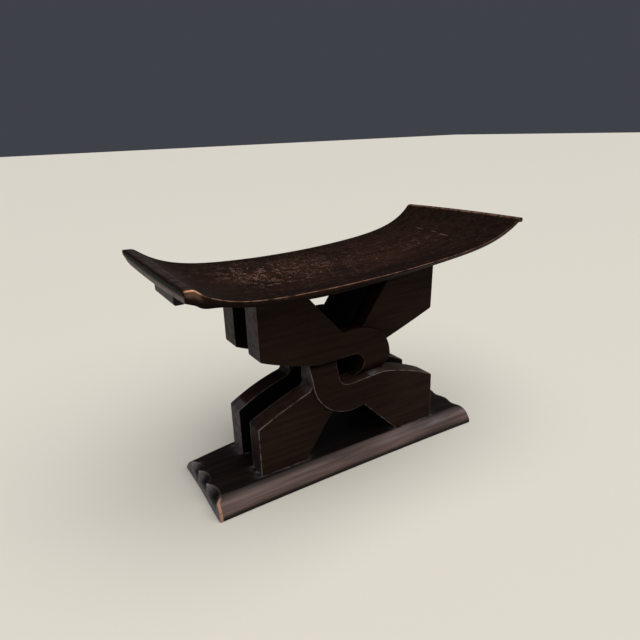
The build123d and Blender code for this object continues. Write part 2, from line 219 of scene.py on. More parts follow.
def ripple(points: Array, wavelength: float, seed: Seed, waves: int = 7, gain: float = 1.6) -> Array:
    """Smooth noise: the mean of sine waves that run in seeded directions, brought up to about -1 to 1.

    Args:
        points: Places, of shape (n, 3).
        wavelength: Length of a wave.
        seed: Seed of the directions and phases.
        waves: Number of sine waves.
        gain: Factor on their mean.

    Returns:
        Array of shape (n,).
    """
    draw = np.random.default_rng(seed.value)
    ways = draw.normal(size=(waves, 3))
    ways /= np.linalg.norm(ways, axis=1, keepdims=True)
    phases = draw.uniform(0.0, 2 * math.pi, waves)
    return np.sin(points @ ways.T * (2 * math.pi / wavelength) + phases).mean(axis=1) * gain


def half_gap(half: Array, y: Array) -> Array:
    """Distance in from a long edge: half the depth less the distance from the middle, and never under 0."""
    return np.maximum(half - np.abs(y), 0.0)


# ---------------------------------------------------------------- surfaces


@dataclass
class Surface:
    """A closed mesh as arrays: points, faces as lists of point numbers, and marks on the points."""

    points: Array
    faces: list[list[int]]
    marks: dict[str, Array] = field(default_factory=dict)


def outward(surface: Surface) -> Surface:
    """Turns the faces outwards, by the sign of the volume: the sum of a . (b x c) / 6 over fan triangles.

    Args:
        surface: A closed surface whose faces all turn the same way.

    Returns:
        The same surface, with its faces reversed if its volume was negative.
    """
    first = np.array([face[0] for face in surface.faces])
    second = np.array([face[1] for face in surface.faces])
    third = np.array([face[2] for face in surface.faces])
    last = np.array([face[-1] for face in surface.faces])
    middle = surface.points.mean(axis=0)
    a, b, c, d = (surface.points[index] - middle for index in (first, second, third, last))
    volume = np.einsum("ij,ij->", a, np.cross(b, c) + np.cross(c, d))
    if volume < 0:
        surface.faces = [face[::-1] for face in surface.faces]
    return surface


def make_object(name: str, surface: Surface) -> bpy.types.Object:
    """Makes a Blender object at the origin from a surface.

    Args:
        name: The object's name.
        surface: The closed surface.

    Returns:
        The new object, linked to the scene.
    """
    mesh = bpy.data.meshes.new(name)
    mesh.from_pydata(surface.points.tolist(), [], surface.faces)
    for key, values in surface.marks.items():
        mark = mesh.attributes.new(key, "FLOAT", "POINT")
        mark.data.foreach_set("value", np.ascontiguousarray(values, np.float32))
    mesh.update()
    piece = bpy.data.objects.new(name, mesh)
    bpy.context.scene.collection.objects.link(piece)
    return piece


def lattice_surface(cells: Sequence[int]) -> tuple[Array, Array]:
    """The surface of a lattice of cells, as one sheet of cells for each end of each axis.

    Args:
        cells: Number of cells along x, y and z.

    Returns:
        Lattice numbers of the surface's points, of shape (n, 3), and outward quads, of shape (m, 4).
    """
    sheets = []
    strides = np.array([(cells[1] + 1) * (cells[2] + 1), cells[2] + 1, 1])
    for axis in range(3):
        one, two = (axis + 1) % 3, (axis + 2) % 3
        steps = np.meshgrid(np.arange(cells[one]), np.arange(cells[two]), indexing="ij")
        for end in (0, cells[axis]):
            index = np.full((4, steps[0].size, 3), end)
            for corner, (right, up) in enumerate(((0, 0), (1, 0), (1, 1), (0, 1))):
                index[corner, :, one] = steps[0].ravel() + right
                index[corner, :, two] = steps[1].ravel() + up
            sheet = (index @ strides).T
            sheets.append(sheet if end else sheet[:, ::-1])
    used, quads = np.unique(np.concatenate(sheets), return_inverse=True)
    numbers = np.column_stack([used // strides[0], used // strides[1] % (cells[1] + 1), used % strides[1]])
    return numbers, quads.reshape(-1, 4)


def edge_steps(half: float, radius: float, count: int, turns: int = 4) -> Array:
    """Places along one axis of a rounded board: even steps inside, and tangent steps in the two edge zones.

    Args:
        half: Half the board's size along the axis.
        radius: Radius of its edges.
        count: Number of even steps between the edge zones.
        turns: Steps in each edge zone.

    Returns:
        Increasing places from -half to half.
    """
    zone = half - radius + radius * np.tan(np.linspace(0.0, math.pi / 4, turns + 1))
    inside = np.linspace(-(half - radius), half - radius, count + 1)
    return np.concatenate([-zone[:0:-1], inside, zone[1:]])


@dataclass
class Board:
    """A flat board with rounded edges, before it is bent to its place."""

    half: tuple[float, float, float]
    radius: float
    counts: tuple[int, int, int]
    extra: Array = field(default_factory=lambda: np.zeros(0))
    arris_reach: float = 1.0 * MM

    def flat(self) -> tuple[Array, Array, Array]:
        """Points of the rounded board: the nearest point of a core box, plus a radius along the way out.

        Returns:
            Points of shape (n, 3), quads of shape (m, 4), and the mark of nearness to an arris.
        """
        half = np.array(self.half)
        axes = [edge_steps(size, self.radius, count) for size, count in zip(self.half, self.counts)]
        axes[0] = np.union1d(axes[0], self.extra)
        numbers, quads = lattice_surface([len(places) - 1 for places in axes])
        raw = np.column_stack([axes[axis][numbers[:, axis]] for axis in range(3)])
        core = np.clip(raw, self.radius - half, half - self.radius)
        out = raw - core
        points = core + self.radius * out / np.linalg.norm(out, axis=1, keepdims=True)
        edge_distance = np.sort(half - np.abs(raw), axis=1)[:, 1]
        return points, quads, bell(edge_distance, 0.0, self.arris_reach)


@dataclass
class Band:
    """A flat member of a panel: a section with rounded arrises, carried along two edge curves in x and z."""

    outer: Array
    inner: Array
    arm_rows: int
    face: Callable[[Array], Array]
    back: float
    radius: float = 1.1 * MM
    arris_reach: float = 0.65 * MM
    face_points: int = 26
    turn_points: int = 6
    side_points: int = 9

    def columns_table(self) -> dict[str, Array]:
        """The section's points, as shares: where they lie between the curves and between face and back.

        Returns:
            across: 0 on the outer curve and 1 on the inner one.
            inset: distance from the curve, in radii.
            depth: 0 at the face and 1 at the back.
            proud: added depth, in radii.
            turned: way round the section from the nearest arris, in radii, where the section turns.
        """
        turn = np.linspace(0.0, math.pi / 2, self.turn_points)
        spread = 0.5 - 0.5 * np.cos(np.linspace(0.0, math.pi, self.face_points))
        side = np.linspace(0.0, 1.0, self.side_points)[1:-1]
        one, none = np.ones_like, np.zeros_like
        inset_in, proud_in = 1 - np.sin(turn), 1 - np.cos(turn)
        round_way = np.abs(turn - math.pi / 4)
        half_turn = math.pi / 4
        parts = [
            (spread, one(spread), none(spread), none(spread), half_turn * one(spread)),
            (one(turn), inset_in, none(turn), proud_in, round_way),
            (one(side), none(side), side, 1 - 2 * side, half_turn * one(side)),
            (one(turn), proud_in, one(turn), -inset_in, round_way),
            (spread[::-1], one(spread), one(spread), none(spread), half_turn * one(spread)),
            (none(turn), inset_in, one(turn), -proud_in, round_way),
            (none(side), none(side), 1 - side, 2 * side - 1, half_turn * one(side)),
            (none(turn), proud_in, none(turn), inset_in, round_way),
        ]
        keys = ("across", "inset", "depth", "proud", "turned")
        keep = [slice(None), slice(1, None), slice(None), slice(None, -1)] * 2
        return {
            key: np.concatenate([part[number][cut] for part, cut in zip(parts, keep)])
            for number, key in enumerate(keys)
        }

    def inwards(self) -> float:
        """1 where the inner curve lies to the left of the outer one, and -1 where it lies to the right."""
        return float(np.sign(np.sum(left_normals(self.outer) * (self.inner - self.outer))))

    def surface(self) -> Surface:
        """The closed band. A point is a mix of two curve points, each moved inwards along its normal.

        Returns:
            The surface, with a flat cap at each end.
        """
        table = self.columns_table()
        across, inset, depth, proud, turned = (column[None, :] for column in table.values())
        shift = (self.radius * inset)[..., None]
        outer = self.outer[:, None, :] + shift * self.inwards() * left_normals(self.outer)[:, None, :]
        inner = self.inner[:, None, :] - shift * self.inwards() * left_normals(self.inner)[:, None, :]
        place = (1 - across)[..., None] * outer + across[..., None] * inner
        face = self.face(place.reshape(-1, 2)).reshape(place.shape[:2])
        away = (1 - depth) * face + depth * self.back + proud * self.radius
        points = np.stack([place[..., 0], away, place[..., 1]], axis=-1)
        rows, columns = away.shape
        width = np.linalg.norm(self.inner - self.outer, axis=1)[:, None]
        thickness = abs(self.back - face.mean())
        on_face = np.minimum(across, 1 - across) * width * (inset >= 1)
        on_side = np.minimum(depth, 1 - depth) * thickness * (inset <= 0)
        reach = self.radius * turned + on_face + on_side
        shape = away.shape
        marks = {
            "wear": bell(reach, 0.0, self.arris_reach),
            # Painted shade: the back half of each member is darkened, where the two panels shade each other.
            "shade": np.broadcast_to(smooth(2 * depth - 0.8), shape),
            "side": np.broadcast_to(inset < 1, shape).astype(float),
            "inner": np.broadcast_to(across, shape),
        }
        flat = {key: np.ravel(values) for key, values in marks.items()}
        return outward(Surface(points.reshape(-1, 3), tube_faces(rows, columns), flat))

    def outline(self, rows: slice, margin: float) -> Array:
        """Border of some rows of the band, grown by a margin.

        Args:
            rows: The rows.
            margin: Distance added on both edge curves.

        Returns:
            Closed border, of shape (n, 2).
        """
        outer = self.outer - margin * self.inwards() * left_normals(self.outer)
        inner = self.inner + margin * self.inwards() * left_normals(self.inner)
        return np.concatenate([outer[rows], inner[rows][::-1]])

    def arm(self, margin: float) -> Array:
        """Border of the arm's rows."""
        return self.outline(slice(None, self.arm_rows), margin)

    def curl(self, margin: float) -> Array:
        """Border of the curl's rows."""
        return self.outline(slice(self.arm_rows - 1, None), margin)


def tube_faces(rows: int, columns: int) -> list[list[int]]:
    """Faces of a closed tube of point rows, with a flat many-sided cap at each end.

    Args:
        rows: Number of rows along the tube.
        columns: Number of points round it.

    Returns:
        Lists of point numbers.
    """
    row, column = np.meshgrid(np.arange(rows - 1), np.arange(columns), indexing="ij")
    beside = (column + 1) % columns
    this, following = row * columns, (row + 1) * columns
    quads = np.stack([this + column, following + column, following + beside, this + beside], axis=-1)
    first_cap = list(range(columns))
    last_cap = list(range(rows * columns - 1, (rows - 1) * columns - 1, -1))
    return quads.reshape(-1, 4).tolist() + [first_cap, last_cap]


def prism(outline: Array, near: float, far: float) -> Surface:
    """An outline in x and z, carried straight from one depth to another.

    Args:
        outline: Border, of shape (n, 2).
        near: First depth.
        far: Last depth.

    Returns:
        A closed surface.
    """
    x, z = outline.T
    rows = [np.column_stack([x, np.full(len(outline), depth), z]) for depth in (near, far)]
    return outward(Surface(np.concatenate(rows), tube_faces(2, len(outline))))


def carve(piece: bpy.types.Object, cutters: Sequence[bpy.types.Object]) -> None:
    """Cuts closed shapes out of a piece and keeps the result as its mesh.

    Args:
        piece: The piece.
        cutters: Closed shapes, which stay as they are.
    """
    for number, cutter in enumerate(cutters):
        cut = piece.modifiers.new(f"cut_{number}", "BOOLEAN")
        cut.operation = "DIFFERENCE"
        cut.solver = "MANIFOLD"
        cut.object = cutter
    graph = bpy.context.evaluated_depsgraph_get()
    mesh = bpy.data.meshes.new_from_object(piece.evaluated_get(graph), depsgraph=graph)
    piece.modifiers.clear()
    old = piece.data
    piece.data = mesh
    bpy.data.meshes.remove(old)
    mesh.name = piece.name


def discard(objects: Sequence[bpy.types.Object]) -> None:
    """Removes helper objects and their meshes."""
    for helper in objects:
        mesh = helper.data
        bpy.data.objects.remove(helper)
        bpy.data.meshes.remove(mesh)


# ---------------------------------------------------------------- the stool


@dataclass(frozen=True)
class HookShape:
    """Sizes of a hook from the knot's middle, with its arm at the upper left."""

    reach: float
    corner_rise: float
    corner_round: float
    knee: tuple[float, float]
    bulge: float
    root: tuple[float, float]
    inner_reach: float
    curl: tuple[float, float]
    squareness: float


@dataclass(frozen=True)
class ArmShape:
    """Sizes of a plain arm from the knot's middle, at the upper right."""

    end_reach: float
    reach: float
    corner_rise: float
    corner_round: float
    curl: tuple[float, float]
    bulge: float
    root: tuple[float, float]
    inner_reach: float


UPPER_HOOK = HookShape(
    reach=159.0 * MM, corner_rise=51.5 * MM, corner_round=4.5 * MM, knee=(60.0 * MM, 22.5 * MM),
    bulge=2.8 * MM, root=(15.3 * MM, 65.2 * MM), inner_reach=88.0 * MM, curl=(76.5 * MM, 66.5 * MM),
    squareness=2.6)
LOWER_HOOK = HookShape(
    reach=169.5 * MM, corner_rise=54.0 * MM, corner_round=3.0 * MM, knee=(62.0 * MM, 20.0 * MM),
    bulge=4.0 * MM, root=(24.0 * MM, 70.5 * MM), inner_reach=90.0 * MM, curl=(72.5 * MM, 72.5 * MM),
    squareness=2.05)
UPPER_ARM = ArmShape(
    end_reach=172.0 * MM, reach=168.0 * MM, corner_rise=68.8 * MM, corner_round=3.0 * MM,
    curl=(70.0 * MM, 33.5 * MM), bulge=0.5 * MM, root=(27.0 * MM, 68.5 * MM), inner_reach=92.0 * MM)
LOWER_ARM = ArmShape(
    end_reach=167.0 * MM, reach=167.0 * MM, corner_rise=57.5 * MM, corner_round=2.5 * MM,
    curl=(76.0 * MM, 20.0 * MM), bulge=1.5 * MM, root=(35.0 * MM, 65.0 * MM), inner_reach=87.0 * MM)
REAR_UPPER_HOOK = replace(
    UPPER_HOOK, reach=162.5 * MM, corner_rise=50.7 * MM, bulge=3.6 * MM, root=(4.0 * MM, 74.5 * MM),
    curl=(76.0 * MM, 76.5 * MM))
REAR_UPPER_ARM = replace(UPPER_ARM, root=(18.0 * MM, 75.2 * MM), inner_reach=79.0 * MM)
REAR_LOWER_ARM = replace(LOWER_ARM, bulge=3.5 * MM)


@dataclass(frozen=True)
class Patch:
    """A soft oval seen from above: its middle and its reach, along and across, and its strength."""

    middle: tuple[float, float]
    reach: tuple[float, float]
    share: float

    def at(self, x: Array, y: Array) -> Array:
        """Its strength at a place: a bell curve along times a bell curve across."""
        return self.share * bell(x, self.middle[0], self.reach[0]) * bell(y, self.middle[1], self.reach[1])


@dataclass
class Seat:
    """The curved seat plank. Heights run along the top of its long edges, and places run from its middle."""

    # Top line of the long edges, with a level strip at each tip
    edge_height: float = 331.5 * MM
    long_rise: float = 19.5 * MM
    tip_rise: float = 27.5 * MM
    tip_power: int = 7
    lean: float = 8.5 * MM
    left_strip: float = 16.5 * MM
    left_softness: float = 2.0 * MM
    right_strip: float = 8.0 * MM
    right_softness: float = 0.7 * MM

    # Sections: their tilt, depth and hollow
    tilt: float = 2.3 * MM
    twist: float = 2.2 * MM
    end_twist: float = 3.0 * MM
    end_twist_power: int = 8
    waist_depth: float = 250.0 * MM
    dish: float = 5.0 * MM
    end_dish: float = 1.0 * MM

    # Thickness along the middle
    core_thickness: float = 27.0 * MM
    left_end_thickness: float = 17.0 * MM
    right_end_thickness: float = 15.0 * MM

    # Thickness of the long edges: thinner to the right, with swells at both tips and at the belly
    edge_thickness: float = 8.0 * MM
    right_thickness: float = 5.0 * MM
    right_reach: float = 210.0 * MM
    left_swell: float = 11.0 * MM
    left_swell_place: float = -266.0 * MM
    left_swell_reach: float = 24.0 * MM
    belly_swell: float = 2.0 * MM
    belly_place: float = -80.0 * MM
    belly_reach: float = 75.0 * MM
    right_swell: float = 1.8 * MM

    # Ends
    end_zone: float = 35.0 * MM
    left_skew: float = 5.5 * MM
    rear_lift: float = 6.0 * MM
    rear_lift_zone: float = 24.5 * MM
    rear_lift_start: float = 0.65
    right_bow: float = 2.0 * MM
    right_crown: float = 2.0 * MM

    # Mesh
    arris_radius: float = 1.5 * MM
    arris_reach: float = 0.55 * MM
    cells: tuple[int, int, int] = (270, 112, 4)
    ridge_rows: int = 7

    # Marks: rubbed front edge, a painted highlight on the right ridge, bare front left corner
    front_strip: float = 30.0 * MM
    front_fade: float = 20.0 * MM
    edge_fade: float = 6.0 * MM
    rear_wear: float = 0.3
    ridge_highlight: float = 0.85
    ridge_reach: float = 1.3 * MM
    bare_start: float = 0.5 * MM
    bare_start_fade: float = 2.0 * MM
    bare_end: float = 29.0 * MM
    bare_end_fade: float = 8.0 * MM
    bare_strip: float = 2.5 * MM
    bare_up: float = 1.7 * MM
    bare_up_fade: float = 0.5 * MM
    bare_below: float = 0.09
    bare_below_up: float = -0.4 * MM
    bare_below_fade: float = 1.2 * MM
    bare_below_strip: float = 1.0 * MM

    # Marks: a painted reflection on the left end face and painted sheen on the top beside it, dark lines of
    # chipping and painted shade, warm glow
    end_face_depth: float = 1.5 * MM
    tip_sheen: float = 0.12
    tip_sheen_start: float = 2.0 * MM
    tip_sheen_start_fade: float = 6.0 * MM
    tip_sheen_end: float = 34.0 * MM
    tip_sheen_end_fade: float = 24.0 * MM
    line_reach: float = 2.5 * MM
    line_wavelength: float = 9.0 * MM
    # Strength of the painted shade under the seat and on the level strip beyond the right ridge
    dark: float = 0.7
    shaded_strip_start: float = 1.5 * MM
    shaded_strip_fade: float = 2.0 * MM
    glow_middle: float = 10.0 * MM
    glow_reach: tuple[float, float] = (225.0 * MM, 80.0 * MM)
    glow_wavelength: float = 110.0 * MM
    front_glow: float = 0.9
    front_glow_reach: float = 60.0 * MM

    # Marks: worn flecks in patches and everywhere, and a painted reflection that makes the front edge paler
    # to the right
    patches: tuple[Patch, ...] = (
        Patch((-128.0 * MM, 20.0 * MM), (30.0 * MM, 45.0 * MM), 1.0),
        Patch((-70.0 * MM, 20.0 * MM), (115.0 * MM, 60.0 * MM), 0.6),
        Patch((168.0 * MM, 0.0), (30.0 * MM, 25.0 * MM), 0.45),
    )
    few_flecks: float = 0.1
    edge_reflection_start: float = -40.0 * MM
    edge_reflection_fade: float = 200.0 * MM

    length: float = field(init=False)
    end_depth: float = field(init=False)
    left_ridge: float = field(init=False)
    right_ridge: float = field(init=False)

    def __post_init__(self) -> None:
        """Reads the length and the depth at the ends from the frame, and places the two ridges."""
        low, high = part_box("seat")
        self.length = high.x - low.x
        self.end_depth = high.y - low.y
        self.left_ridge = self.left_strip - self.length / 2
        self.right_ridge = self.length / 2 - self.right_strip

    def held(self, x: Array) -> Array:
        """x, held where the level strips begin; a logarithm of exponentials rounds the two ridges."""
        soft = self.left_softness
        raised = self.left_ridge + soft * np.logaddexp(0.0, (x - self.left_ridge) / soft)
        soft = self.right_softness
        return self.right_ridge - soft * np.logaddexp(0.0, (self.right_ridge - raised) / soft)

    def edge_top(self, x: Array) -> Array:
        """Top of the long edges: a lean, a square curve and a seventh power for the turned-up tips."""
        x = self.held(x)
        share = x / (self.length / 2)
        tip = np.abs(np.where(x < 0, x / self.left_ridge, x / self.right_ridge)) ** self.tip_power
        return self.edge_height + self.lean * share + self.long_rise * share**2 + self.tip_rise * tip

    def edge_tilt(self, x: Array) -> Array:
        """How much higher the front edge stands: a little more to the right, and less at both tips."""
        share = self.held(x) / (self.length / 2)
        return self.tilt + self.twist * share - self.end_twist * share**self.end_twist_power

    def blend(self, middle: float, end: float, x: Array) -> Array:
        """A size that changes from the middle to the ends with the square of the distance."""
        return middle + (end - middle) * (2 * x / self.length) ** 2

    def half_depth(self, x: Array) -> Array:
        """Half the depth across the seat."""
        return self.blend(self.waist_depth, self.end_depth, x) / 2

    def crown(self, x: Array, across: Array) -> Array:
        """Rise of the right end's middle: a parabola across, faded in over the end zone."""
        start = self.length / 2 - 2 * self.end_zone
        return self.right_crown * (1 - across**2) * ramp(x, start, self.end_zone)

    def centre_bottom(self, x: Array) -> Array:
        """Underside along the centre line."""
        top = self.edge_top(x) - self.blend(self.dish, self.end_dish, x)
        end = np.where(x < 0, self.left_end_thickness, self.right_end_thickness)
        return top - self.blend(self.core_thickness, end, x)

    def edge_low(self, x: Array) -> Array:
        """Lower line of the long edges: a thickness that thins to the right, with swells at three places."""
        swell = self.left_swell * bell(x, self.left_swell_place, self.left_swell_reach)
        swell += self.belly_swell * bell(x, self.belly_place, self.belly_reach)
        swell += self.right_swell * ramp(x, self.length / 2 - self.end_zone, self.end_zone)
        thinned = ramp(x, -self.right_reach / 4, self.right_reach)
        thickness = self.edge_thickness + (self.right_thickness - self.edge_thickness) * thinned
        return self.edge_top(x) - thickness - swell

    def top(self, x: Array, y: Array) -> Array:
        """Top surface: the edge's height, tilted, less a parabola of the dish across, plus the crown."""
        across = y / self.half_depth(x)
        dish = self.blend(self.dish, self.end_dish, x)
        return self.edge_top(x) - self.edge_tilt(x) * across - dish * (1 - across**2) + self.crown(x, across)

    def bottom(self, x: Array, y: Array) -> Array:
        """Underside: the edge's lower line, tilted, less a parabola of the belly, and up at the rear left."""
        across = y / self.half_depth(x)
        low = self.edge_low(x)
        belly = low - self.edge_tilt(x) * across - (low - self.centre_bottom(x)) * (1 - across**2)
        return belly + self.rear_lift * self.rear_corner(x, across)

    def rear_corner(self, x: Array, across: Array) -> Array:
        """1 at the left end's rear corner, falling off smoothly along both edges."""
        near = ramp(x, self.rear_lift_zone - self.length / 2, -self.rear_lift_zone)
        return near * ramp(across, self.rear_lift_start, 1 - self.rear_lift_start) ** 2

    def ends(self, x: Array, y: Array) -> Array:
        """Places along, after the left end's skew and the right end's bow, each kept to its end zone."""
        half = self.length / 2
        across = y / (self.end_depth / 2)
        left = ramp(x, self.end_zone - half, -self.end_zone) * self.left_skew * (1 - across) / 2
        right = ramp(x, half - self.end_zone, self.end_zone) * self.right_bow * across**2
        return x + left - right

    def marks(self, flat: Array, y: Array, arris: Array) -> dict[str, Array]:
        """Wear, tan, painted sheen, painted shade and a dark line, glow, fleck and a painted edge reflection,
        from the place on the flat board.

        Args:
            flat: Points of the flat board.
            y: Places across the seat.
            arris: Nearness to an arris.

        Returns:
            Marks by name, from 0 to 1.
        """
        x, up, turn = flat[:, 0], flat[:, 2], self.arris_radius
        from_left, from_right = x + self.length / 2, self.length / 2 - x
        from_edge = half_gap(self.half_depth(x), y)
        upper = ramp(up, -turn / 2, turn)
        under = ramp(up, 0.3 * turn, -turn)
        front = ramp(y, self.front_strip - self.waist_depth / 2, -self.front_fade)
        long_edge = arris * upper * ramp(np.minimum(from_left, from_right), 0.0, self.edge_fade)
        ridge = bell(x, self.right_ridge, self.ridge_reach) * upper
        end_face = ramp(from_left, self.end_face_depth, -self.end_face_depth) * ramp(up, 0.4 * turn, -turn)
        left_top = ramp(from_left, self.tip_sheen_start, self.tip_sheen_start_fade)
        left_top *= ramp(from_left, self.tip_sheen_end, -self.tip_sheen_end_fade)
        ragged = ripple(np.column_stack([x, y, up]), self.line_wavelength, Seed.SEAT_END_LINE)
        left_line = np.exp(-from_left / self.line_reach) * np.clip(0.7 + 0.7 * ragged, 0.0, 1.0)
        right_top = ramp(x, self.right_ridge + self.shaded_strip_start, self.shaded_strip_fade) * upper
        # The wear mark also holds a painted highlight along the right ridge.
        wear = long_edge * (self.rear_wear + (1 - self.rear_wear) * front) + self.ridge_highlight * ridge
        flecks = sum(patch.at(x, y) for patch in self.patches) + self.few_flecks
        # Painted shade on the underside and on the strip beyond the right ridge; the ragged line at the left
        # end is a dark chipped arris.
        shade = left_line * (1 - end_face) + self.dark * (right_top + under * (1 - end_face))
        return {
            "wear": np.clip(wear, 0.0, 1.0),
            "tan": np.clip(front * self.bare(from_left, from_edge, up), 0.0, 1.0),
            # Painted reflection on the left end face, and painted sheen on the top near the left tip.
            "dust": np.clip(end_face + self.tip_sheen * upper * left_top * (1 - end_face), 0.0, 1.0),
            "shade": np.clip(shade, 0.0, 1.0),
            "glow": self.glow(x, y, upper, front),
            "fleck": np.clip(flecks, 0.0, 1.0) * upper,
            # Painted reflection: the front edge under the upper arris turns paler to the right.
            "edge": front * (1 - upper) * ramp(x, self.edge_reflection_start, self.edge_reflection_fade),
        }

    def bare(self, from_left: Array, from_edge: Array, up: Array) -> Array:
        """Bare wood of the left tip: strong along the upper arris and weak on the edge under it.

        Args:
            from_left: Distance from the left end.
            from_edge: Distance in from the long edge.
            up: Height on the flat board.

        Returns:
            Share of bare wood.
        """
        along = ramp(from_left, self.bare_start, self.bare_start_fade)
        along *= ramp(from_left, self.bare_end, -self.bare_end_fade)
        at_arris = ramp(up, self.bare_up, self.bare_up_fade) * bell(from_edge, 0.0, self.bare_strip)
        below = ramp(up, self.bare_below_up, self.bare_below_fade) * (from_edge < self.bare_below_strip)
        return along * (at_arris + self.bare_below * below)

    def glow(self, x: Array, y: Array, upper: Array, front: Array) -> Array:
        """Warm wood: a patchy band along the middle of the top, and the front edge near the left tip.

        Args:
            x: Places along.
            y: Places across.
            upper: 1 on the top.
            front: 1 at the front.

        Returns:
            Share of glow.
        """
        half_along, half_across = self.glow_reach
        band = bell(y, 0.0, half_across) * bell(x, self.glow_middle, half_along, 4)
        patchy = ripple(np.column_stack([x, 2 * y, 0 * x]), self.glow_wavelength, Seed.SEAT_GLOW)
        band *= np.clip(0.7 + 0.6 * patchy, 0.0, 1.0)
        fading = front * (1 - upper) * np.exp(-(x + self.length / 2) / self.front_glow_reach)
        return np.clip(band * upper + self.front_glow * fading, 0.0, 1.0)

    def surface(self) -> Surface:
        """The rounded board bent to the seat: the bottom plus the flat height, with the middle stretched."""
        thin = self.right_thickness
        reach = 3 * self.right_softness
        ridges = self.right_ridge + np.linspace(-reach, reach, self.ridge_rows)
        half = (self.length / 2, self.waist_depth / 2, thin / 2)
        flat, quads, arris = Board(half, self.arris_radius, self.cells, ridges, self.arris_reach).flat()
        x = flat[:, 0]
        y = flat[:, 1] * self.half_depth(x) / (self.waist_depth / 2)
        up = flat[:, 2] + thin / 2
        low, high = self.bottom(x, y), self.top(x, y)
        z = low + up + (high - low - thin) * smooth(up / thin)
        points = np.column_stack([self.ends(x, y), y, z])
        return outward(Surface(points, quads.tolist(), self.marks(flat, y, arris)))


@dataclass
class BasePlank:
    """The base plank, with bulging slopes and hacked ends."""

    # Section: from the rim at the floor up a bulging slope to the shelf that the panels stand on
    waist_depth: float = 156.0 * MM
    belly: float = 4.0 * MM
    rim: float = 2.5 * MM
    ledge: float = 1.5 * MM
    rear_ledge: float = 3.0 * MM
    rear_taper: float = 0.19
    rear_taper_start: float = -166.0 * MM

    # Left end: a lean, a skew and three scoops, each given by its middle and half its width
    end_zone: float = 45.0 * MM
    left_lean: float = 1.5 * MM
    left_skew: float = 3.5 * MM
    skew_start: float = -75.0 * MM
    skew_length: float = 110.0 * MM
    scoops: tuple[tuple[float, float], ...] = (
        (31.0 * MM, 13.0 * MM), (-3.0 * MM, 19.0 * MM), (-46.0 * MM, 22.0 * MM))
    scoop_depth: float = 12.0 * MM
    scoop_dip: float = 3.0 * MM
    scoop_dip_reach: float = 7.0 * MM

    # Right end: a rounded top and a wave
    right_lean: float = 7.5 * MM
    right_lean_power: int = 5
    wave: float = 2.3 * MM
    wavelength: float = 43.0 * MM
    wave_crest: float = -20.0 * MM
    wave_dip_reach: float = 9.0 * MM

    # Mesh
    arris_radius: float = 1.6 * MM
    cells: tuple[int, int, int] = (240, 96, 16)
    end_stations: tuple[float, float, int] = (2.0 * MM, 18.0 * MM, 17)

    # Marks: bare front left corner, rubbed wood between the scoops, a painted reflection on the left end
    # face, dust round the feet
    end_face_depth: float = 3.0 * MM
    end_face_fade: float = 2.0 * MM
    bare_end: float = 6.0 * MM
    bare_fade: float = 2.5 * MM
    bare_reach: float = 1.2 * MM
    rubbed_reach: float = 7.0 * MM
    feet_dust: float = 1.1
    feet_dust_reach: float = 5.0 * MM
    feet_dust_wavelength: float = 12.0 * MM

    # Marks: painted sheen on the slopes, a painted highlight line along their upper part, and painted shade
    # on the shelf between the panels
    sheen_wavelength: float = 140.0 * MM
    soft_top: tuple[float, float] = (-90.0 * MM, 170.0 * MM)
    soft_top_fade: tuple[float, float] = (120.0 * MM, 60.0 * MM)
    line: float = 0.55
    line_height: float = 0.72
    line_reach: float = 0.13
    line_start: float = -20.0 * MM
    line_fade: float = 150.0 * MM
    line_wavelength: float = 60.0 * MM
    shelf_shade: float = 0.8
    shelf_shade_middle: float = 10.0 * MM
    shelf_shade_reach: float = 150.0 * MM
    shelf_shade_fade: float = 6.0 * MM

    length: float = field(init=False)
    end_depth: float = field(init=False)
    thickness: float = field(init=False)
    shelf: float = field(init=False)

    def __post_init__(self) -> None:
        """Reads the outer sizes from the frame."""
        low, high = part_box("base")
        self.length = high.x - low.x
        self.end_depth = high.y - low.y
        self.thickness = high.z
        self.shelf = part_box("rear_lower_hook")[1].y + self.ledge

    def half_depth(self, x: Array) -> Array:
        """Half the depth at the floor: a square curve from the waist to the ends."""
        return (self.waist_depth + (self.end_depth - self.waist_depth) * (2 * x / self.length) ** 2) / 2

    def shelf_depth(self, x: Array, y: Array) -> Array:
        """Half the depth of the top: wider behind the rear panel's left foot, and tapered on to the end."""
        taper = self.rear_taper * np.maximum(self.rear_taper_start - x, 0.0)
        beside = ramp(x, self.rear_taper_start + self.end_zone, -self.end_zone)
        return self.shelf + (self.rear_ledge * beside - taper) * (y > 0)

    def slope_width(self, x: Array, y: Array, z: Array) -> Array:
        """Half the depth at a height: from the rim to the shelf in a straight line, plus a parabola."""
        low, shelf = self.half_depth(x), self.shelf_depth(x, y)
        rise = self.thickness - self.rim
        share = np.clip((z - self.rim) / rise, 0.0, 1.0)
        steep = np.hypot(low - self.shelf, rise) / rise
        return low + (shelf - low) * share + self.belly * steep * 4 * share * (1 - share)

    def scooped(self, y: Array) -> Array:
        """Share of a scoop: (1 - d^2)^0.8, with d the distance across from its middle in half widths."""
        scoops = [np.maximum(1 - ((y - middle) / half) ** 2, 0.0) for middle, half in self.scoops]
        return sum(scoops) ** 0.8

    def left_cut(self, y: Array, z: Array) -> Array:
        """How far the left end stands in: a lean, a skew that grows to the rear, and scoops under the top."""
        share = z / self.thickness
        scoops = self.scoop_depth * self.scooped(y) * ramp(share, 0.2, 0.8) ** 1.5
        skew = self.left_skew * ramp(y, self.skew_start, self.skew_length)
        return self.left_lean * (1 + share) + skew + scoops

    def right_cut(self, y: Array, z: Array) -> Array:
        """How far the right end stands in: a top rounded by a fifth power, and a wave along it."""
        share = z / self.thickness
        turn = 2 * math.pi * (y - self.wave_crest) / self.wavelength
        return self.right_lean * share**self.right_lean_power + self.wave * (1 - np.cos(turn)) * smooth(share)

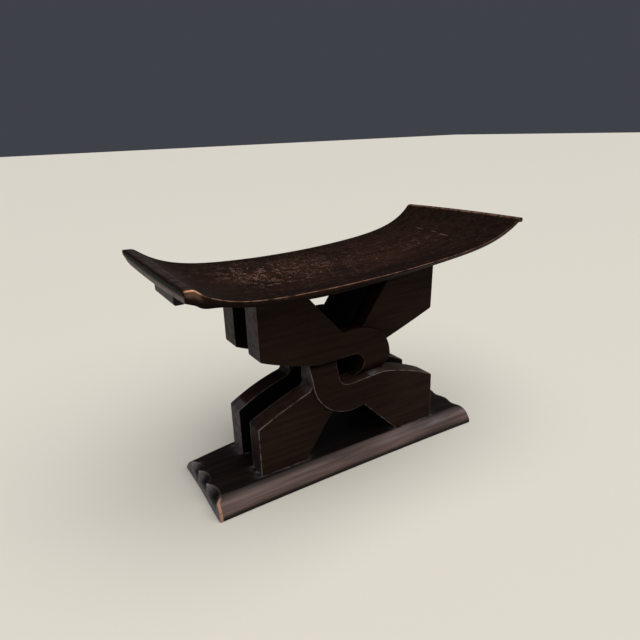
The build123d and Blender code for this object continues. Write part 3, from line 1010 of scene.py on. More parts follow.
    def dip(self, x: Array, y: Array, z: Array) -> Array:
        """How far the top is hacked down near the ends, in the scoops on the left and evenly on the right."""
        near_left = np.exp(-np.maximum(x + self.length / 2, 0.0) / self.scoop_dip_reach)
        near_right = np.exp(-np.maximum(self.length / 2 - x, 0.0) / self.wave_dip_reach)
        top = ramp(z / self.thickness, 0.5, 0.5)
        return top * (near_left * self.scoop_dip * self.scooped(y) + near_right * self.wave)

    def feet_gap(self, x: Array, y: Array) -> Array:
        """Distance from the nearest foot's rectangle, with the part across counted three times."""
        gaps = []
        for shape, node in ((LOWER_ARM, "rear_lower_arm"), (LOWER_HOOK, "rear_lower_hook")):
            low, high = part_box(node)
            left, right = (low.x, -shape.inner_reach) if shape is LOWER_ARM else (shape.inner_reach, high.x)
            over_x = np.maximum(np.maximum(left - x, x - right), 0.0)
            over_y = np.maximum(np.maximum(low.y - np.abs(y), np.abs(y) - high.y), 0.0)
            gaps.append(np.hypot(over_x, 3 * over_y))
        return np.minimum(*gaps)

    def marks(self, x: Array, y: Array, z: Array, arris: Array) -> dict[str, Array]:
        """Wear, tan, dust with painted sheen and reflection, painted shade, and glow that is painted sheen,
        from the place on the plank.

        Args:
            x: Places along, before the ends are cut.
            y: Places across.
            z: Heights.
            arris: Nearness to an arris.

        Returns:
            Marks by name, from 0 to 1.
        """
        share = z / self.thickness
        from_left = x + self.length / 2
        places = np.column_stack([x, y, z])
        top = ramp(share, 0.93, 0.06) * (np.abs(y) < self.shelf_depth(x, y))
        end_face = ramp(from_left, self.end_face_depth, -self.end_face_fade)
        to_slope = np.maximum(y + self.slope_width(x, y, z), 0.0)
        corner = ramp(from_left, self.bare_end, -self.bare_fade) * np.exp(-to_slope / self.bare_reach)
        between = np.clip(1 - 1.8 * self.scooped(y), 0.0, 1.0) * ramp(share, 0.6, 0.3)
        near_end = np.exp(-np.abs(from_left) / self.rubbed_reach)
        hollow = self.scooped(y) * ramp(share, 0.25, 0.3)
        patchy = 0.5 + 0.6 * ripple(places, self.feet_dust_wavelength, Seed.BASE_DUST)
        dust = self.feet_dust * np.exp(-self.feet_gap(x, y) / self.feet_dust_reach) * top * patchy
        # Painted sheen on the slopes, and a painted highlight line along their upper part.
        sheen = self.sheen(x, share, places) * (1 - top) * (1 - end_face)
        line = self.painted_highlight_line(x, share, places) * (1 - top)
        # Painted shade: darker at the foot of the slopes, in the scoops of the left end, and on the shelf
        # between the panels.
        rim_shade = 0.9 * ramp(share, 0.2, -0.2) * (1 - top)
        scoop_shade = hollow * near_end * end_face.clip(0.5, 1.0)
        hidden = bell(x, self.shelf_shade_middle, self.shelf_shade_reach, 4) * ramp(np.abs(y), self.shelf, -self.shelf_shade_fade)
        # The dust-and-sheen mark holds dust by the feet, some painted sheen, the painted highlight line and a
        # painted reflection on the left end face; glow is the painted sheen.
        return {
            "wear": np.clip(0.5 * arris * near_end + 0.9 * between * near_end * end_face, 0.0, 1.0),
            "tan": corner * ramp(share, 0.97, -0.08),
            "dust": np.clip(dust + 0.1 * sheen + self.line * line + 0.9 * end_face * (1 - hollow), 0.0, 1.0),
            "shade": np.clip(rim_shade + scoop_shade + self.shelf_shade * top * hidden, 0.0, 1.0),
            "glow": np.clip(sheen, 0.0, 1.0),
        }

    def sheen(self, x: Array, share: Array, places: Array) -> Array:
        """Painted sheen by the height on a slope: it ends softly under the top, and reaches up to it in the
        middle.

        Args:
            x: Places along.
            share: Height as a share of the thickness.
            places: Places in x, y and z.

        Returns:
            Share of sheen, before it is kept to the slopes.
        """
        (start, end), (fade_in, fade_out) = self.soft_top, self.soft_top_fade
        lit = ramp(share, 1.04, -0.35)
        lit += 0.6 * (1 - lit) * ramp(x, start, fade_in) * ramp(x, end, -fade_out)
        patchy = 0.8 + 0.25 * ripple(places, self.sheen_wavelength, Seed.BASE_SHEEN)
        return lit * ramp(share, 0.12, 0.25) * patchy

    def painted_highlight_line(self, x: Array, share: Array, places: Array) -> Array:
        """Painted highlight: a pale line along the upper part of the slopes, stronger to the right.

        Args:
            x: Places along.
            share: Height as a share of the thickness.
            places: Places in x, y and z.

        Returns:
            Share of the line, before it is kept to the slopes.
        """
        line = bell(share, self.line_height, self.line_reach) * ramp(x, self.line_start, self.line_fade)
        return line * (0.65 + 0.35 * ripple(places, self.line_wavelength, Seed.BASE_LINE))

    def surface(self) -> Surface:
        """The rounded board, widened down to the floor, pushed in at its ends and dipped at their tops."""
        half = self.length / 2
        stations = np.linspace(*self.end_stations) - half
        board = Board((half, self.shelf, self.thickness / 2), self.arris_radius, self.cells, stations)
        flat, quads, arris = board.flat()
        x = flat[:, 0]
        z = flat[:, 2] + self.thickness / 2
        y = flat[:, 1] / self.shelf * self.slope_width(x, flat[:, 1], z)
        near_left = ramp(x, self.end_zone - half, -self.end_zone)
        near_right = ramp(x, half - self.end_zone, self.end_zone)
        cut_x = x + near_left * self.left_cut(y, z) - near_right * self.right_cut(y, z)
        points = np.column_stack([cut_x, y, z - self.dip(x, y, z)])
        return outward(Surface(points, quads.tolist(), self.marks(x, y, z, arris)))


@dataclass
class GripLug:
    """A grip lug under one end of the seat, with a painted reflection on its outer face and black at its
    front end.
    """

    node: str
    radius: float = 3.5 * MM
    cells: tuple[int, int, int] = (10, 40, 6)
    wear: float = 0.6
    dust: float = 0.25
    outer_start: float = 4.0 * MM
    outer_fade: float = 2.0 * MM
    black_end: float = 9.0 * MM
    black_fade: float = 7.0 * MM

    def surface(self) -> Surface:
        """A rounded board of the node's size."""
        low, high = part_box(self.node)
        half = (high - low) / 2
        flat, quads, arris = Board((half.x, half.y, half.z), self.radius, self.cells).flat()
        middle = np.array((low + high) / 2)
        outer = ramp(np.sign(middle[0]) * flat[:, 0], self.outer_start, self.outer_fade)
        front = ramp(flat[:, 1], self.black_end - half.y, -self.black_fade)
        # The outer face gets a painted reflection.
        marks = {"wear": self.wear * arris * (1 - front), "dust": self.dust * outer * (1 - front)}
        return outward(Surface(flat + middle, quads.tolist(), marks | {"shade": front}))


@dataclass
class Panel:
    """One knot panel: an upper and a lower hook that interlock, and two plain arms behind their curls."""

    side: Side

    # Knot, tongues and laps
    knot_height: float = 168.0 * MM
    tongue_thickness: float = 19.5 * MM
    hole: float = 24.5 * MM
    hole_squareness: float = 2.7
    tongue_reach: float = 51.0 * MM
    tongue_inner: float = 14.0 * MM
    tip_slope: float = 30.0 * MM
    lap: float = 30.0 * MM
    clearance: float = 0.15 * MM
    spare: float = 5.0 * MM

    # Mesh
    hook_rows: int = 234
    curl_rows: int = 135
    arm_rows: int = 180

    # Painted reflection on the left end faces, and dust above the feet, round the lower curl and on top of
    # the lower hook
    upper_end_reflection: float = 0.62
    front_lower_end_reflection: float = 0.1
    rear_lower_end_reflection: float = 0.95
    end_start: float = 150.0 * MM
    end_fade: float = 6.0 * MM
    foot_dust: float = 1.4
    foot_dust_reach: float = 7.0 * MM
    rim_dust: float = 0.7
    rim_dust_reach: float = 9.0 * MM
    lap_dust_middle: float = 38.0 * MM
    lap_dust_reach: float = 26.0 * MM
    dust_wavelength: float = 24.0 * MM

    # Wear of the arrises: a little everywhere, more at the hole and the lower members, and a painted
    # highlight on the lower curl's rim
    least_wear: float = 0.06
    hole_wear: float = 0.35
    hole_zone: float = 1.4
    rim_highlight: float = 0.9
    rim_highlight_end: float = 30.0 * MM
    rim_highlight_reach: float = 8.0 * MM
    rim_highlight_fade: float = 4.0 * MM
    top_wear: float = 0.8
    low_wear: float = 0.9
    end_wear: float = 0.4

    # Warm wood on the faces away from the knot, and painted light on top of the lower members
    face_glow: float = 0.25
    face_glow_start: float = 5.0 * MM
    face_glow_fade: float = 60.0 * MM
    lit_top: float = 0.9

    face: float = field(init=False)
    middle: float = field(init=False)
    back: float = field(init=False)
    arm_face: float = field(init=False)
    hook_head: float = field(init=False)
    arm_head: float = field(init=False)
    foot: float = field(init=False)

    def __post_init__(self) -> None:
        """Reads the depths of the panel's faces and the heights of heads and feet from the frame."""
        low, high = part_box("front_upper_hook")
        self.face, self.back = low.y, high.y
        self.middle = self.back - self.tongue_thickness
        self.hook_head = high.z - self.knot_height
        self.arm_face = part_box("front_upper_arm")[0].y
        self.arm_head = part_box("front_upper_arm")[1].z - self.knot_height
        self.foot = self.knot_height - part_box("front_lower_hook")[0].z

    def hook_curves(self, shape: HookShape, contact: float) -> tuple[Array, Array, int]:
        """Edge curves of a hook about the knot's middle, with its arm at the upper left.

        Args:
            shape: The hook's sizes.
            contact: Rise of the arm's end.

        Returns:
            Outer curve, inner curve and the number of rows in the arm.
        """
        head, tip = (-shape.reach, contact), (-shape.reach, shape.corner_rise)
        low = (-shape.knee[0], shape.knee[1])
        turn = rounded_turn(head, tip, low, shape.corner_round)
        outer_arm = np.concatenate([
            polyline(head), turn, shallow_arc(turn[-1], low, shape.bulge)[1:], polyline((0.0, self.hole)),
        ])
        curl_top = (0.0, shape.curl[1])
        inner_arm = polyline((-shape.inner_reach, contact), (-shape.root[0], shape.root[1]), curl_top)
        hole = rounded_square((self.hole, self.hole), self.hole_squareness, 90.0, -90.0)
        hole = hole[(hole[:, 1] > 0) | (hole[:, 0] > self.tongue_inner)]
        outer_curl = np.concatenate([hole, polyline((self.tongue_inner, -self.tongue_reach))])
        ring = rounded_square(shape.curl, shape.squareness, 90.0, -90.0)
        inner_curl = ring[ring[:, 1] > -self.tongue_reach]
        outer = [resampled(outer_arm, self.hook_rows), resampled(outer_curl, self.curl_rows)[1:]]
        inner = [resampled(inner_arm, self.hook_rows), resampled(inner_curl, self.curl_rows)[1:]]
        return np.concatenate(outer), np.concatenate(inner), self.hook_rows

    def arm_curves(self, shape: ArmShape, contact: float) -> tuple[Array, Array, int]:
        """Edge curves of a plain arm about the knot's middle, at the upper right, down to the end of its lap.

        Args:
            shape: The arm's sizes.
            contact: Rise of the arm's end.

        Returns:
            Outer curve, inner curve and the number of rows.
        """
        head, tip = (shape.end_reach, contact), (shape.reach, shape.corner_rise)
        inner = (shape.inner_reach, contact)
        run = np.array(shape.root) - np.array(inner)
        step = run / np.linalg.norm(run) * self.lap
        turn = rounded_turn(head, tip, shape.curl, shape.corner_round)
        outer_edge = np.concatenate([
            polyline(head), turn, shallow_arc(turn[-1], shape.curl, -shape.bulge)[1:],
            (np.array(shape.curl) + step)[None, :],
        ])
        inner_edge = polyline(inner, shape.root, tuple(np.array(shape.root) + step))
        return resampled(outer_edge, self.arm_rows), resampled(inner_edge, self.arm_rows), self.arm_rows

    def placed(self, curves: tuple[Array, Array, int], turned: bool) -> tuple[Array, Array, int]:
        """Curves moved to the knot's height, after half a turn for the lower members."""
        spin = -1.0 if turned else 1.0
        lift = np.array([0.0, self.knot_height])
        return curves[0] * spin + lift, curves[1] * spin + lift, curves[2]

    def hook_face(self, upper: bool) -> Callable[[Array], Array]:
        """Depth of a hook's face: flat, then falling back by a 1.5 power to the tongue under the other hook.

        Args:
            upper: True for the upper hook.

        Returns:
            A function of points in x and z.
        """
        sign = 1.0 if upper else -1.0
        knee = (LOWER_HOOK if upper else UPPER_HOOK).knee

        def depth(place: Array) -> Array:
            """Depth of the face at points in x and z."""
            x = place[:, 0] * sign
            rise = (place[:, 1] - self.knot_height) * sign
            meeting = -self.hole + (self.hole - knee[1]) * np.clip(x / knee[0], 0.0, 1.0)
            fall = np.clip(1 - (rise - meeting) / self.tip_slope, 0.0, 1.0) ** 1.5 * (x > 0)
            return self.face + (self.middle + self.clearance - self.face) * fall

        return depth

    def flat_face(self, place: Array) -> Array:
        """Depth of a plain arm's face, the same everywhere."""
        return np.full(len(place), self.arm_face)

    def bands(self) -> dict[str, Band]:
        """The four members as bands, by name, for the front panel."""
        rear = self.side is Side.REAR
        upper_hook = self.hook_curves(REAR_UPPER_HOOK if rear else UPPER_HOOK, self.hook_head)
        lower_hook = self.hook_curves(LOWER_HOOK, self.foot)
        upper_arm = self.arm_curves(REAR_UPPER_ARM if rear else UPPER_ARM, self.arm_head)
        lower_arm = self.arm_curves(REAR_LOWER_ARM if rear else LOWER_ARM, self.foot)
        return {
            "upper_hook": Band(*self.placed(upper_hook, False), self.hook_face(True), self.back),
            "lower_hook": Band(*self.placed(lower_hook, True), self.hook_face(False), self.back),
            "upper_arm": Band(*self.placed(upper_arm, False), self.flat_face, self.back),
            "lower_arm": Band(*self.placed(lower_arm, True), self.flat_face, self.back),
        }

    def cuts(self, bands: dict[str, Band]) -> dict[str, list[tuple[Array, tuple[float, float]]]]:
        """What each member is cut by at the laps: borders of its neighbours, each with a range of depth.

        Args:
            bands: The four members.

        Returns:
            Lists of borders and ranges, by the member's name.
        """
        front_layer = (self.face - self.spare, self.middle)
        back_layer = (self.middle, self.back + self.spare)
        gap = self.clearance
        found = {}
        for level, other in (("upper", "lower"), ("lower", "upper")):
            hook, other_hook, arm = bands[f"{level}_hook"], bands[f"{other}_hook"], bands[f"{level}_arm"]
            found[f"{level}_hook"] = [
                (other_hook.arm(gap), front_layer),
                (other_hook.curl(gap), back_layer),
                (arm.arm(gap), back_layer),
            ]
            found[f"{level}_arm"] = [(hook.arm(gap), front_layer), (hook.curl(gap), front_layer)]
        return found

    def marked(self, name: str, surface: Surface) -> Surface:
        """Turns a band's marks of arris, depth, side and inner edge into wear with a painted rim highlight,
        painted shade, dust with a painted reflection, and glow with painted light.

        Args:
            name: The member's name.
            surface: Its band, for the front panel.

        Returns:
            The same surface.
        """
        x, _, z = surface.points.T
        rise = z - self.knot_height
        radius = np.hypot(x, rise)
        from_rim = radius - LOWER_HOOK.curl[0]
        marks = surface.marks
        side, inner = marks.pop("side"), marks.pop("inner")
        lower = float(name.startswith("lower"))
        end_face = ramp(x, -self.end_start, -self.end_fade)
        marks["dust"] = self.dust(name, surface.points, from_rim, end_face) * side
        # Painted light: the upward sides of the lower members are made warmer and lighter.
        arm_top = lower * side * (1 - end_face) * smooth(1 - 3 * inner)
        outside = ramp(from_rim, self.face_glow_start, self.face_glow_fade)
        marks["glow"] = self.face_glow * outside * (1 - side) + self.lit_top * arm_top
        # Painted shade on the back halves is mostly taken off the sides of the lower members.
        marks["shade"] = marks["shade"] * (1 - 0.9 * lower * side)
        at_hole = radius < self.hole * self.hole_zone
        # Painted highlight along the arrises of the lower curl's rim, on its left.
        rim_line = (x < self.rim_highlight_end) * ramp(np.abs(from_rim), self.rim_highlight_reach, -self.rim_highlight_fade)
        top_edge = (1 - smooth(3 * inner)) * (radius > self.hole * self.hole_zone)
        low_edge = (name == "lower_hook") * smooth(3 * inner - 2) * (x > self.rim_highlight_end)
        share = self.least_wear + self.hole_wear * at_hole + self.end_wear * end_face
        share += lower * (self.rim_highlight * rim_line + self.top_wear * top_edge) + self.low_wear * low_edge
        marks["wear"] = marks["wear"] * np.clip(share, 0.0, 1.0)
        return surface

    def dust(self, name: str, points: Array, from_rim: Array, end_face: Array) -> Array:
        """Dust on the sides of a member, and a painted reflection on its left end faces.

        Args:
            name: The member's name.
            points: Its points, for the front panel.
            from_rim: Distance out from the lower curl's rim.
            end_face: 1 on the left end face.

        Returns:
            Share of dust and painted reflection.
        """
        x, _, z = points.T
        rise = z - self.knot_height
        above_foot = np.maximum(rise + self.foot, 0.0)
        near_foot = self.foot_dust * np.exp(-above_foot / self.foot_dust_reach)
        near_rim = self.rim_dust * bell(from_rim, 0.0, self.rim_dust_reach) * (x < 0)
        end_reflection, dust = self.upper_end_reflection, 0.0
        if name.startswith("lower"):
            end_reflection = self.front_lower_end_reflection if self.side is Side.FRONT else self.rear_lower_end_reflection
            dust = np.maximum(near_foot * end_face, near_rim)
        if name == "lower_hook":
            dust = np.maximum(dust, bell(x, self.lap_dust_middle, self.lap_dust_reach) * (rise > -0.6 * x))
        patchy = 0.7 + 0.5 * ripple(points, self.dust_wavelength, Seed.PANEL_DUST)
        # The left end faces get a painted reflection.
        return np.clip(dust * patchy + end_reflection * end_face, 0.0, 1.0)

    def build(self) -> dict[str, bpy.types.Object]:
        """Builds the four members, cuts their laps and returns them by node name."""
        bands = self.bands()
        cuts = self.cuts(bands)
        pieces = {}
        for name, band in bands.items():
            node = f"{self.side.name.lower()}_{name}"
            piece = make_object(f"{node}_wood", self.mirrored(self.marked(name, band.surface())))
            cutters = [
                make_object(f"{node}_cutter_{number}", self.mirrored(prism(outline, *layer)))
                for number, (outline, layer) in enumerate(cuts[name])
            ]
            carve(piece, cutters)
            discard(cutters)
            pieces[node] = piece
        return pieces

    def mirrored(self, surface: Surface) -> Surface:
        """The surface as it is for the front panel, or mirrored to the rear with its faces turned back."""
        if self.side is Side.REAR:
            surface.points = surface.points * np.array([1.0, -1.0, 1.0])
            surface.faces = [face[::-1] for face in surface.faces]
        return surface


# ---------------------------------------------------------------- finishes


@dataclass(frozen=True)
class Blots:
    """A noise cut by a smooth step into patches. Its scales along x, y and z are cycles in a metre."""

    scale: tuple[float, float, float]
    low: float
    high: float
    detail: float = 4.0
    rough: float = 0.55


class Nodes:
    """A short way to write a material's nodes."""

    # A mix node has sockets for each kind of value; these are the share and the two colours.
    MIX_SHARE, MIX_FIRST, MIX_SECOND, MIX_RESULT = 0, 6, 7, 2

    def __init__(self, name: str) -> None:
        """Makes an empty material with a shader and an output."""
        self.material = bpy.data.materials.new(name)
        self.material.use_nodes = True
        self.tree = self.material.node_tree
        self.shader = self.tree.nodes["Principled BSDF"]
        self.coordinates = self.tree.nodes.new("ShaderNodeTexCoord").outputs["Object"]

    def link(self, source: bpy.types.NodeSocket, target: bpy.types.NodeSocket) -> None:
        """Links two sockets."""
        self.tree.links.new(source, target)

    def feed(self, socket: bpy.types.NodeSocket, value: object) -> None:
        """Links a socket or sets its value."""
        if isinstance(value, bpy.types.NodeSocket):
            self.link(value, socket)
        else:
            socket.default_value = value

    def stretched(self, scale: Sequence[float]) -> bpy.types.NodeSocket:
        """Object coordinates times a scale for each axis."""
        mapping = self.tree.nodes.new("ShaderNodeMapping")
        mapping.inputs["Scale"].default_value = scale
        self.link(self.coordinates, mapping.inputs["Vector"])
        return mapping.outputs["Vector"]

    def noise(self, scale: Sequence[float], detail: float = 4.0, rough: float = 0.55) -> bpy.types.NodeSocket:
        """Noise on stretched object coordinates; the scales are cycles in a metre."""
        noise = self.tree.nodes.new("ShaderNodeTexNoise")
        noise.inputs["Scale"].default_value = 1.0
        noise.inputs["Detail"].default_value = detail
        noise.inputs["Roughness"].default_value = rough
        self.link(self.stretched(scale), noise.inputs["Vector"])
        return noise.outputs["Fac"]

    def math(self, kind: str, first: object, second: object = 0.0) -> bpy.types.NodeSocket:
        """One math node."""
        node = self.tree.nodes.new("ShaderNodeMath")
        node.operation = kind
        self.feed(node.inputs[0], first)
        self.feed(node.inputs[1], second)
        return node.outputs[0]

    def step(self, value: bpy.types.NodeSocket, low: float, high: float) -> bpy.types.NodeSocket:
        """Smooth step of a value between two limits."""
        node = self.tree.nodes.new("ShaderNodeMapRange")
        node.interpolation_type = "SMOOTHSTEP"
        node.inputs["From Min"].default_value = low
        node.inputs["From Max"].default_value = high
        self.link(value, node.inputs["Value"])
        return node.outputs["Result"]

    def blots(self, kind: Blots) -> bpy.types.NodeSocket:
        """Share of patches."""
        return self.step(self.noise(kind.scale, kind.detail, kind.rough), kind.low, kind.high)

    def attribute(self, name: str) -> bpy.types.NodeSocket:
        """A mark on the mesh's points."""
        node = self.tree.nodes.new("ShaderNodeAttribute")
        node.attribute_name = name
        return node.outputs["Fac"]

    def mix(self, share: object, first: object, second: object) -> bpy.types.NodeSocket:
        """A mix of two colours."""
        node = self.tree.nodes.new("ShaderNodeMix")
        node.data_type = "RGBA"
        self.feed(node.inputs[self.MIX_SHARE], share)
        self.feed(node.inputs[self.MIX_FIRST], first)
        self.feed(node.inputs[self.MIX_SECOND], second)
        return node.outputs[self.MIX_RESULT]

    def spot(self, place: Sequence[float], angle: float, half: tuple[float, float]) -> bpy.types.NodeSocket:
        """1 in the middle of an ellipse seen from above, and 0 outside it.

        Args:
            place: Its middle in x, y and z.
            angle: Its turn about Z.
            half: Half its length and half its width.

        Returns:
            The share.
        """
        mapping = self.tree.nodes.new("ShaderNodeMapping")
        mapping.vector_type = "TEXTURE"
        mapping.inputs["Location"].default_value = place
        mapping.inputs["Rotation"].default_value = (0.0, 0.0, angle)
        mapping.inputs["Scale"].default_value = (*half, 1.0)
        self.link(self.coordinates, mapping.inputs["Vector"])
        length = self.tree.nodes.new("ShaderNodeVectorMath")
        length.operation = "LENGTH"
        self.link(mapping.outputs["Vector"], length.inputs[0])
        return self.step(length.outputs["Value"], 1.0, 0.35)

    def bump(self, height: bpy.types.NodeSocket, distance: float) -> bpy.types.NodeSocket:
        """A bump from a height."""
        node = self.tree.nodes.new("ShaderNodeBump")
        node.inputs["Distance"].default_value = distance
        self.link(height, node.inputs["Height"])
        return node.outputs["Normal"]


Colour = tuple[float, float, float, float]


def colour(red: float, green: float, blue: float) -> Colour:
    """A colour from 0 to 255 in the display's scale, as linear light."""
    return tuple(
        value / 255 / 12.92 if value < 10.3 else ((value / 255 + 0.055) / 1.055) ** 2.4
        for value in (red, green, blue)
    ) + (1.0,)


@dataclass(frozen=True)
class Scratch:
    """A scratch in the seat's top, seen from above. One with a negative share is dark."""

    middle: tuple[float, float]
    angle: float
    half: tuple[float, float]
    share: float


SEAT_MIDDLE_HEIGHT = 340.0 * MM
SEAT_SCRATCHES = (
    Scratch((-130.0 * MM, -50.5 * MM), -20.0, (6.0 * MM, 1.6 * MM), 0.9),
    Scratch((-117.0 * MM, -48.0 * MM), -4.0, (8.0 * MM, 1.5 * MM), 0.8),
    Scratch((-64.0 * MM, -43.0 * MM), -20.0, (6.0 * MM, 1.2 * MM), 0.7),
    Scratch((-95.5 * MM, 53.0 * MM), -12.0, (9.0 * MM, 2.0 * MM), 0.6),
    Scratch((218.0 * MM, -26.0 * MM), 85.0, (18.0 * MM, 0.9 * MM), 0.7),
    Scratch((224.5 * MM, 43.0 * MM), 89.0, (14.0 * MM, 0.8 * MM), 0.6),
    Scratch((223.0 * MM, 4.0 * MM), 88.0, (9.0 * MM, 0.8 * MM), 0.6),
    Scratch((76.5 * MM, -22.8 * MM), 0.0, (1.3 * MM, 3.0 * MM), 0.9),
    Scratch((-145.0 * MM, -24.0 * MM), 46.0, (20.0 * MM, 2.2 * MM), -0.8),
)


@dataclass(frozen=True)
class BlackenedWood:
    """Hardwood stained nearly black, with grain along X, under what its marks lay over it."""

    name: str
    deep: Colour = colour(14, 9, 6)
    brown: Colour = colour(30, 19, 12)
    warm: Colour = colour(66, 38, 24)
    worn: Colour = colour(150, 122, 100)
    tan: Colour = colour(186, 122, 72)
    dust: Colour = colour(108, 100, 104)
    black: Colour = colour(5, 4, 4)
    fleck: Colour = colour(150, 112, 94)
    grain: tuple[float, float, float] = (7.0, 95.0, 95.0)
    grain_relief: float = 0.3 * MM
    flecks: float = 0.0
    scratches: tuple[Scratch, ...] = ()
    wear: float = 0.55
    roughness: float = 0.5
    gloss: float = 0.25

    # Fine streaks, and how much of them there is in the grain and in the roughness
    fine_grain: tuple[float, float, float] = (38.0, 800.0, 800.0)
    fine_share: float = 0.3
    rough_spread: float = 0.2

    # Steps that cut the grain, its warm streaks and its dust and painted sheen, and the width of the flecks'
    # contours
    grain_step: tuple[float, float] = (0.38, 0.66)
    warm_step: tuple[float, float] = (0.3, 0.7)
    dust_step: tuple[float, float] = (0.55, 1.25)
    bend_step: tuple[float, float] = (0.032, 0.012)
    bends: tuple[float, float, float] = (320.0, 120.0, 120.0)

    # Patches that break up the marks
    rubbed: Blots = Blots((70.0, 120.0, 120.0), 0.3, 0.62)
    bare: Blots = Blots((90.0, 160.0, 160.0), 0.22, 0.5)
    grit: Blots = Blots((420.0, 560.0, 560.0), 0.38, 0.56, 3.0, 0.7)
    nicks: Blots = Blots((60.0, 330.0, 330.0), 0.6, 0.68, 4.0, 0.7)
    patches: Blots = Blots((70.0, 34.0, 34.0), 0.36, 0.56, 3.0)
    breaks: Blots = Blots((210.0, 90.0, 90.0), 0.49, 0.56, 2.0)

    # Strongest share of each mark, and the share of warm wood that stays between its streaks
    warm_least: float = 0.4
    warm_gain: float = 0.5
    edge_reflection_share: float = 0.35
    shade_share: float = 0.95
    dust_share: float = 0.9

    def material(self) -> bpy.types.Material:
        """Builds the nodes: grain, then glow, flecks, scratches, painted shade, wear, tan, and dust with
        painted sheen laid over it.
        """
        made = Nodes(self.name)
        shader = made.shader
        streak = made.noise(self.grain, 5.0)
        fine = made.noise(self.fine_grain, 3.0)
        coarse = made.math("MULTIPLY", streak, 1 - self.fine_share)
        grain = made.math("ADD", coarse, made.math("MULTIPLY", fine, self.fine_share))
        wood = made.mix(made.step(grain, *self.grain_step), self.deep, self.brown)
        streaky = made.math("MULTIPLY", made.step(streak, *self.warm_step), self.warm_gain)
        streaky = made.math("ADD", streaky, self.warm_least)
        # Glow: warm wood, plus painted sheen on the base's slopes and painted light on top of the lower panel
        # members.
        wood = made.mix(made.math("MULTIPLY", streaky, made.attribute("glow")), wood, self.warm)
        if self.flecks:
            wood = made.mix(self.fleck_share(made), wood, self.fleck)
            # Painted reflection on the seat's front edge, mixed towards the pale dust-and-sheen colour.
            wood = made.mix(made.math("MULTIPLY", made.attribute("edge"), self.edge_reflection_share), wood, self.dust)
        if self.scratches:
            wood = self.scratched(made, wood)
        # The shade mark darkens the wood towards black: mostly painted shade, with a few dark marks.
        wood = made.mix(made.math("MULTIPLY", made.attribute("shade"), self.shade_share), wood, self.black)
        # The wear mark also holds painted highlights on the seat's right ridge and the lower curl's rim.
        rubbed = made.math("MULTIPLY", made.attribute("wear"), made.blots(self.rubbed))
        wood = made.mix(made.math("MULTIPLY", rubbed, self.wear), wood, self.worn)
        bare = made.math("MULTIPLY", made.attribute("tan"), made.blots(self.bare))
        wood = made.mix(bare, wood, self.tan)
        # Dust, painted sheen and painted reflection, from the dust-and-sheen mark.
        dusty = made.step(made.math("ADD", fine, streak), *self.dust_step)
        dusty = made.math("MULTIPLY", made.attribute("dust"), dusty)
        wood = made.mix(made.math("MULTIPLY", dusty, self.dust_share), wood, self.dust)
        made.link(wood, shader.inputs["Base Color"])
        rough = made.math("MULTIPLY", fine, self.rough_spread)
        rough = made.math("ADD", rough, self.roughness - self.rough_spread / 2)
        made.link(rough, shader.inputs["Roughness"])
        made.link(made.bump(grain, self.grain_relief), shader.inputs["Normal"])
        shader.inputs["Specular IOR Level"].default_value = self.gloss
        return made.material

    def scratched(self, made: Nodes, wood: bpy.types.NodeSocket) -> bpy.types.NodeSocket:
        """The wood with its scratches, made ragged by a fine noise.

        Args:
            made: The material's nodes.
            wood: Colour so far.

        Returns:
            The new colour.
        """
        ragged = made.blots(self.grit)
        for scratch in self.scratches:
            place = (*scratch.middle, SEAT_MIDDLE_HEIGHT)
            spot = made.math("MULTIPLY", made.spot(place, math.radians(scratch.angle), scratch.half), ragged)
            shown = self.fleck if scratch.share > 0 else self.black
            wood = made.mix(made.math("MULTIPLY", spot, abs(scratch.share)), wood, shown)
        return wood

    def fleck_share(self, made: Nodes) -> bpy.types.NodeSocket:
        """Share of worn flecks: thin bent contours of a noise, broken up, where their mark lets them through.

        Args:
            made: The material's nodes.

        Returns:
            A share from 0 to the amount of flecks.
        """
        level = made.math("SUBTRACT", made.noise(self.bends, 2.0, 0.6), 0.5)
        contour = made.step(made.math("ABSOLUTE", level), *self.bend_step)
        nicks = made.blots(self.nicks)
        patches = made.blots(self.patches)
        lines = made.math("MAXIMUM", made.math("MULTIPLY", contour, made.blots(self.breaks)), nicks)
        allowed = made.math("MULTIPLY", made.attribute("fleck"), patches)
        return made.math("MULTIPLY", made.math("MULTIPLY", lines, allowed), self.flecks)


@dataclass(frozen=True)
class BareWood:
    """Unstained hardwood of the hidden dowels."""

    name: str = "bare_wood"
    pale: Colour = colour(176, 140, 100)
    brown: Colour = colour(140, 104, 70)
    grain: tuple[float, float, float] = (300.0, 300.0, 20.0)
    roughness: float = 0.7

    def material(self) -> bpy.types.Material:
        """Builds the nodes: grain along Z between two browns."""
        made = Nodes(self.name)
        wood = made.mix(made.noise(self.grain), self.brown, self.pale)
        made.link(wood, made.shader.inputs["Base Color"])
        made.shader.inputs["Roughness"].default_value = self.roughness
        return made.material


def dress(piece: bpy.types.Object, material: bpy.types.Material, node: str) -> None:
    """Gives a piece its finish and its place in the frame.

    Args:
        piece: The piece.
        material: Its finish.
        node: CAD node that it stands for.
    """
    mesh = piece.data
    mesh.materials.clear()
    mesh.materials.append(material)
    mesh.polygons.foreach_set("use_smooth", np.ones(len(mesh.polygons), bool))
    mesh.set_sharp_from_angle(angle=SHARP_ANGLE)
    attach(piece, BODY)
    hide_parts(node)
    LOG.info("%s: %d points, %d faces", piece.name, len(mesh.vertices), len(mesh.polygons))


# ---------------------------------------------------------------- studio


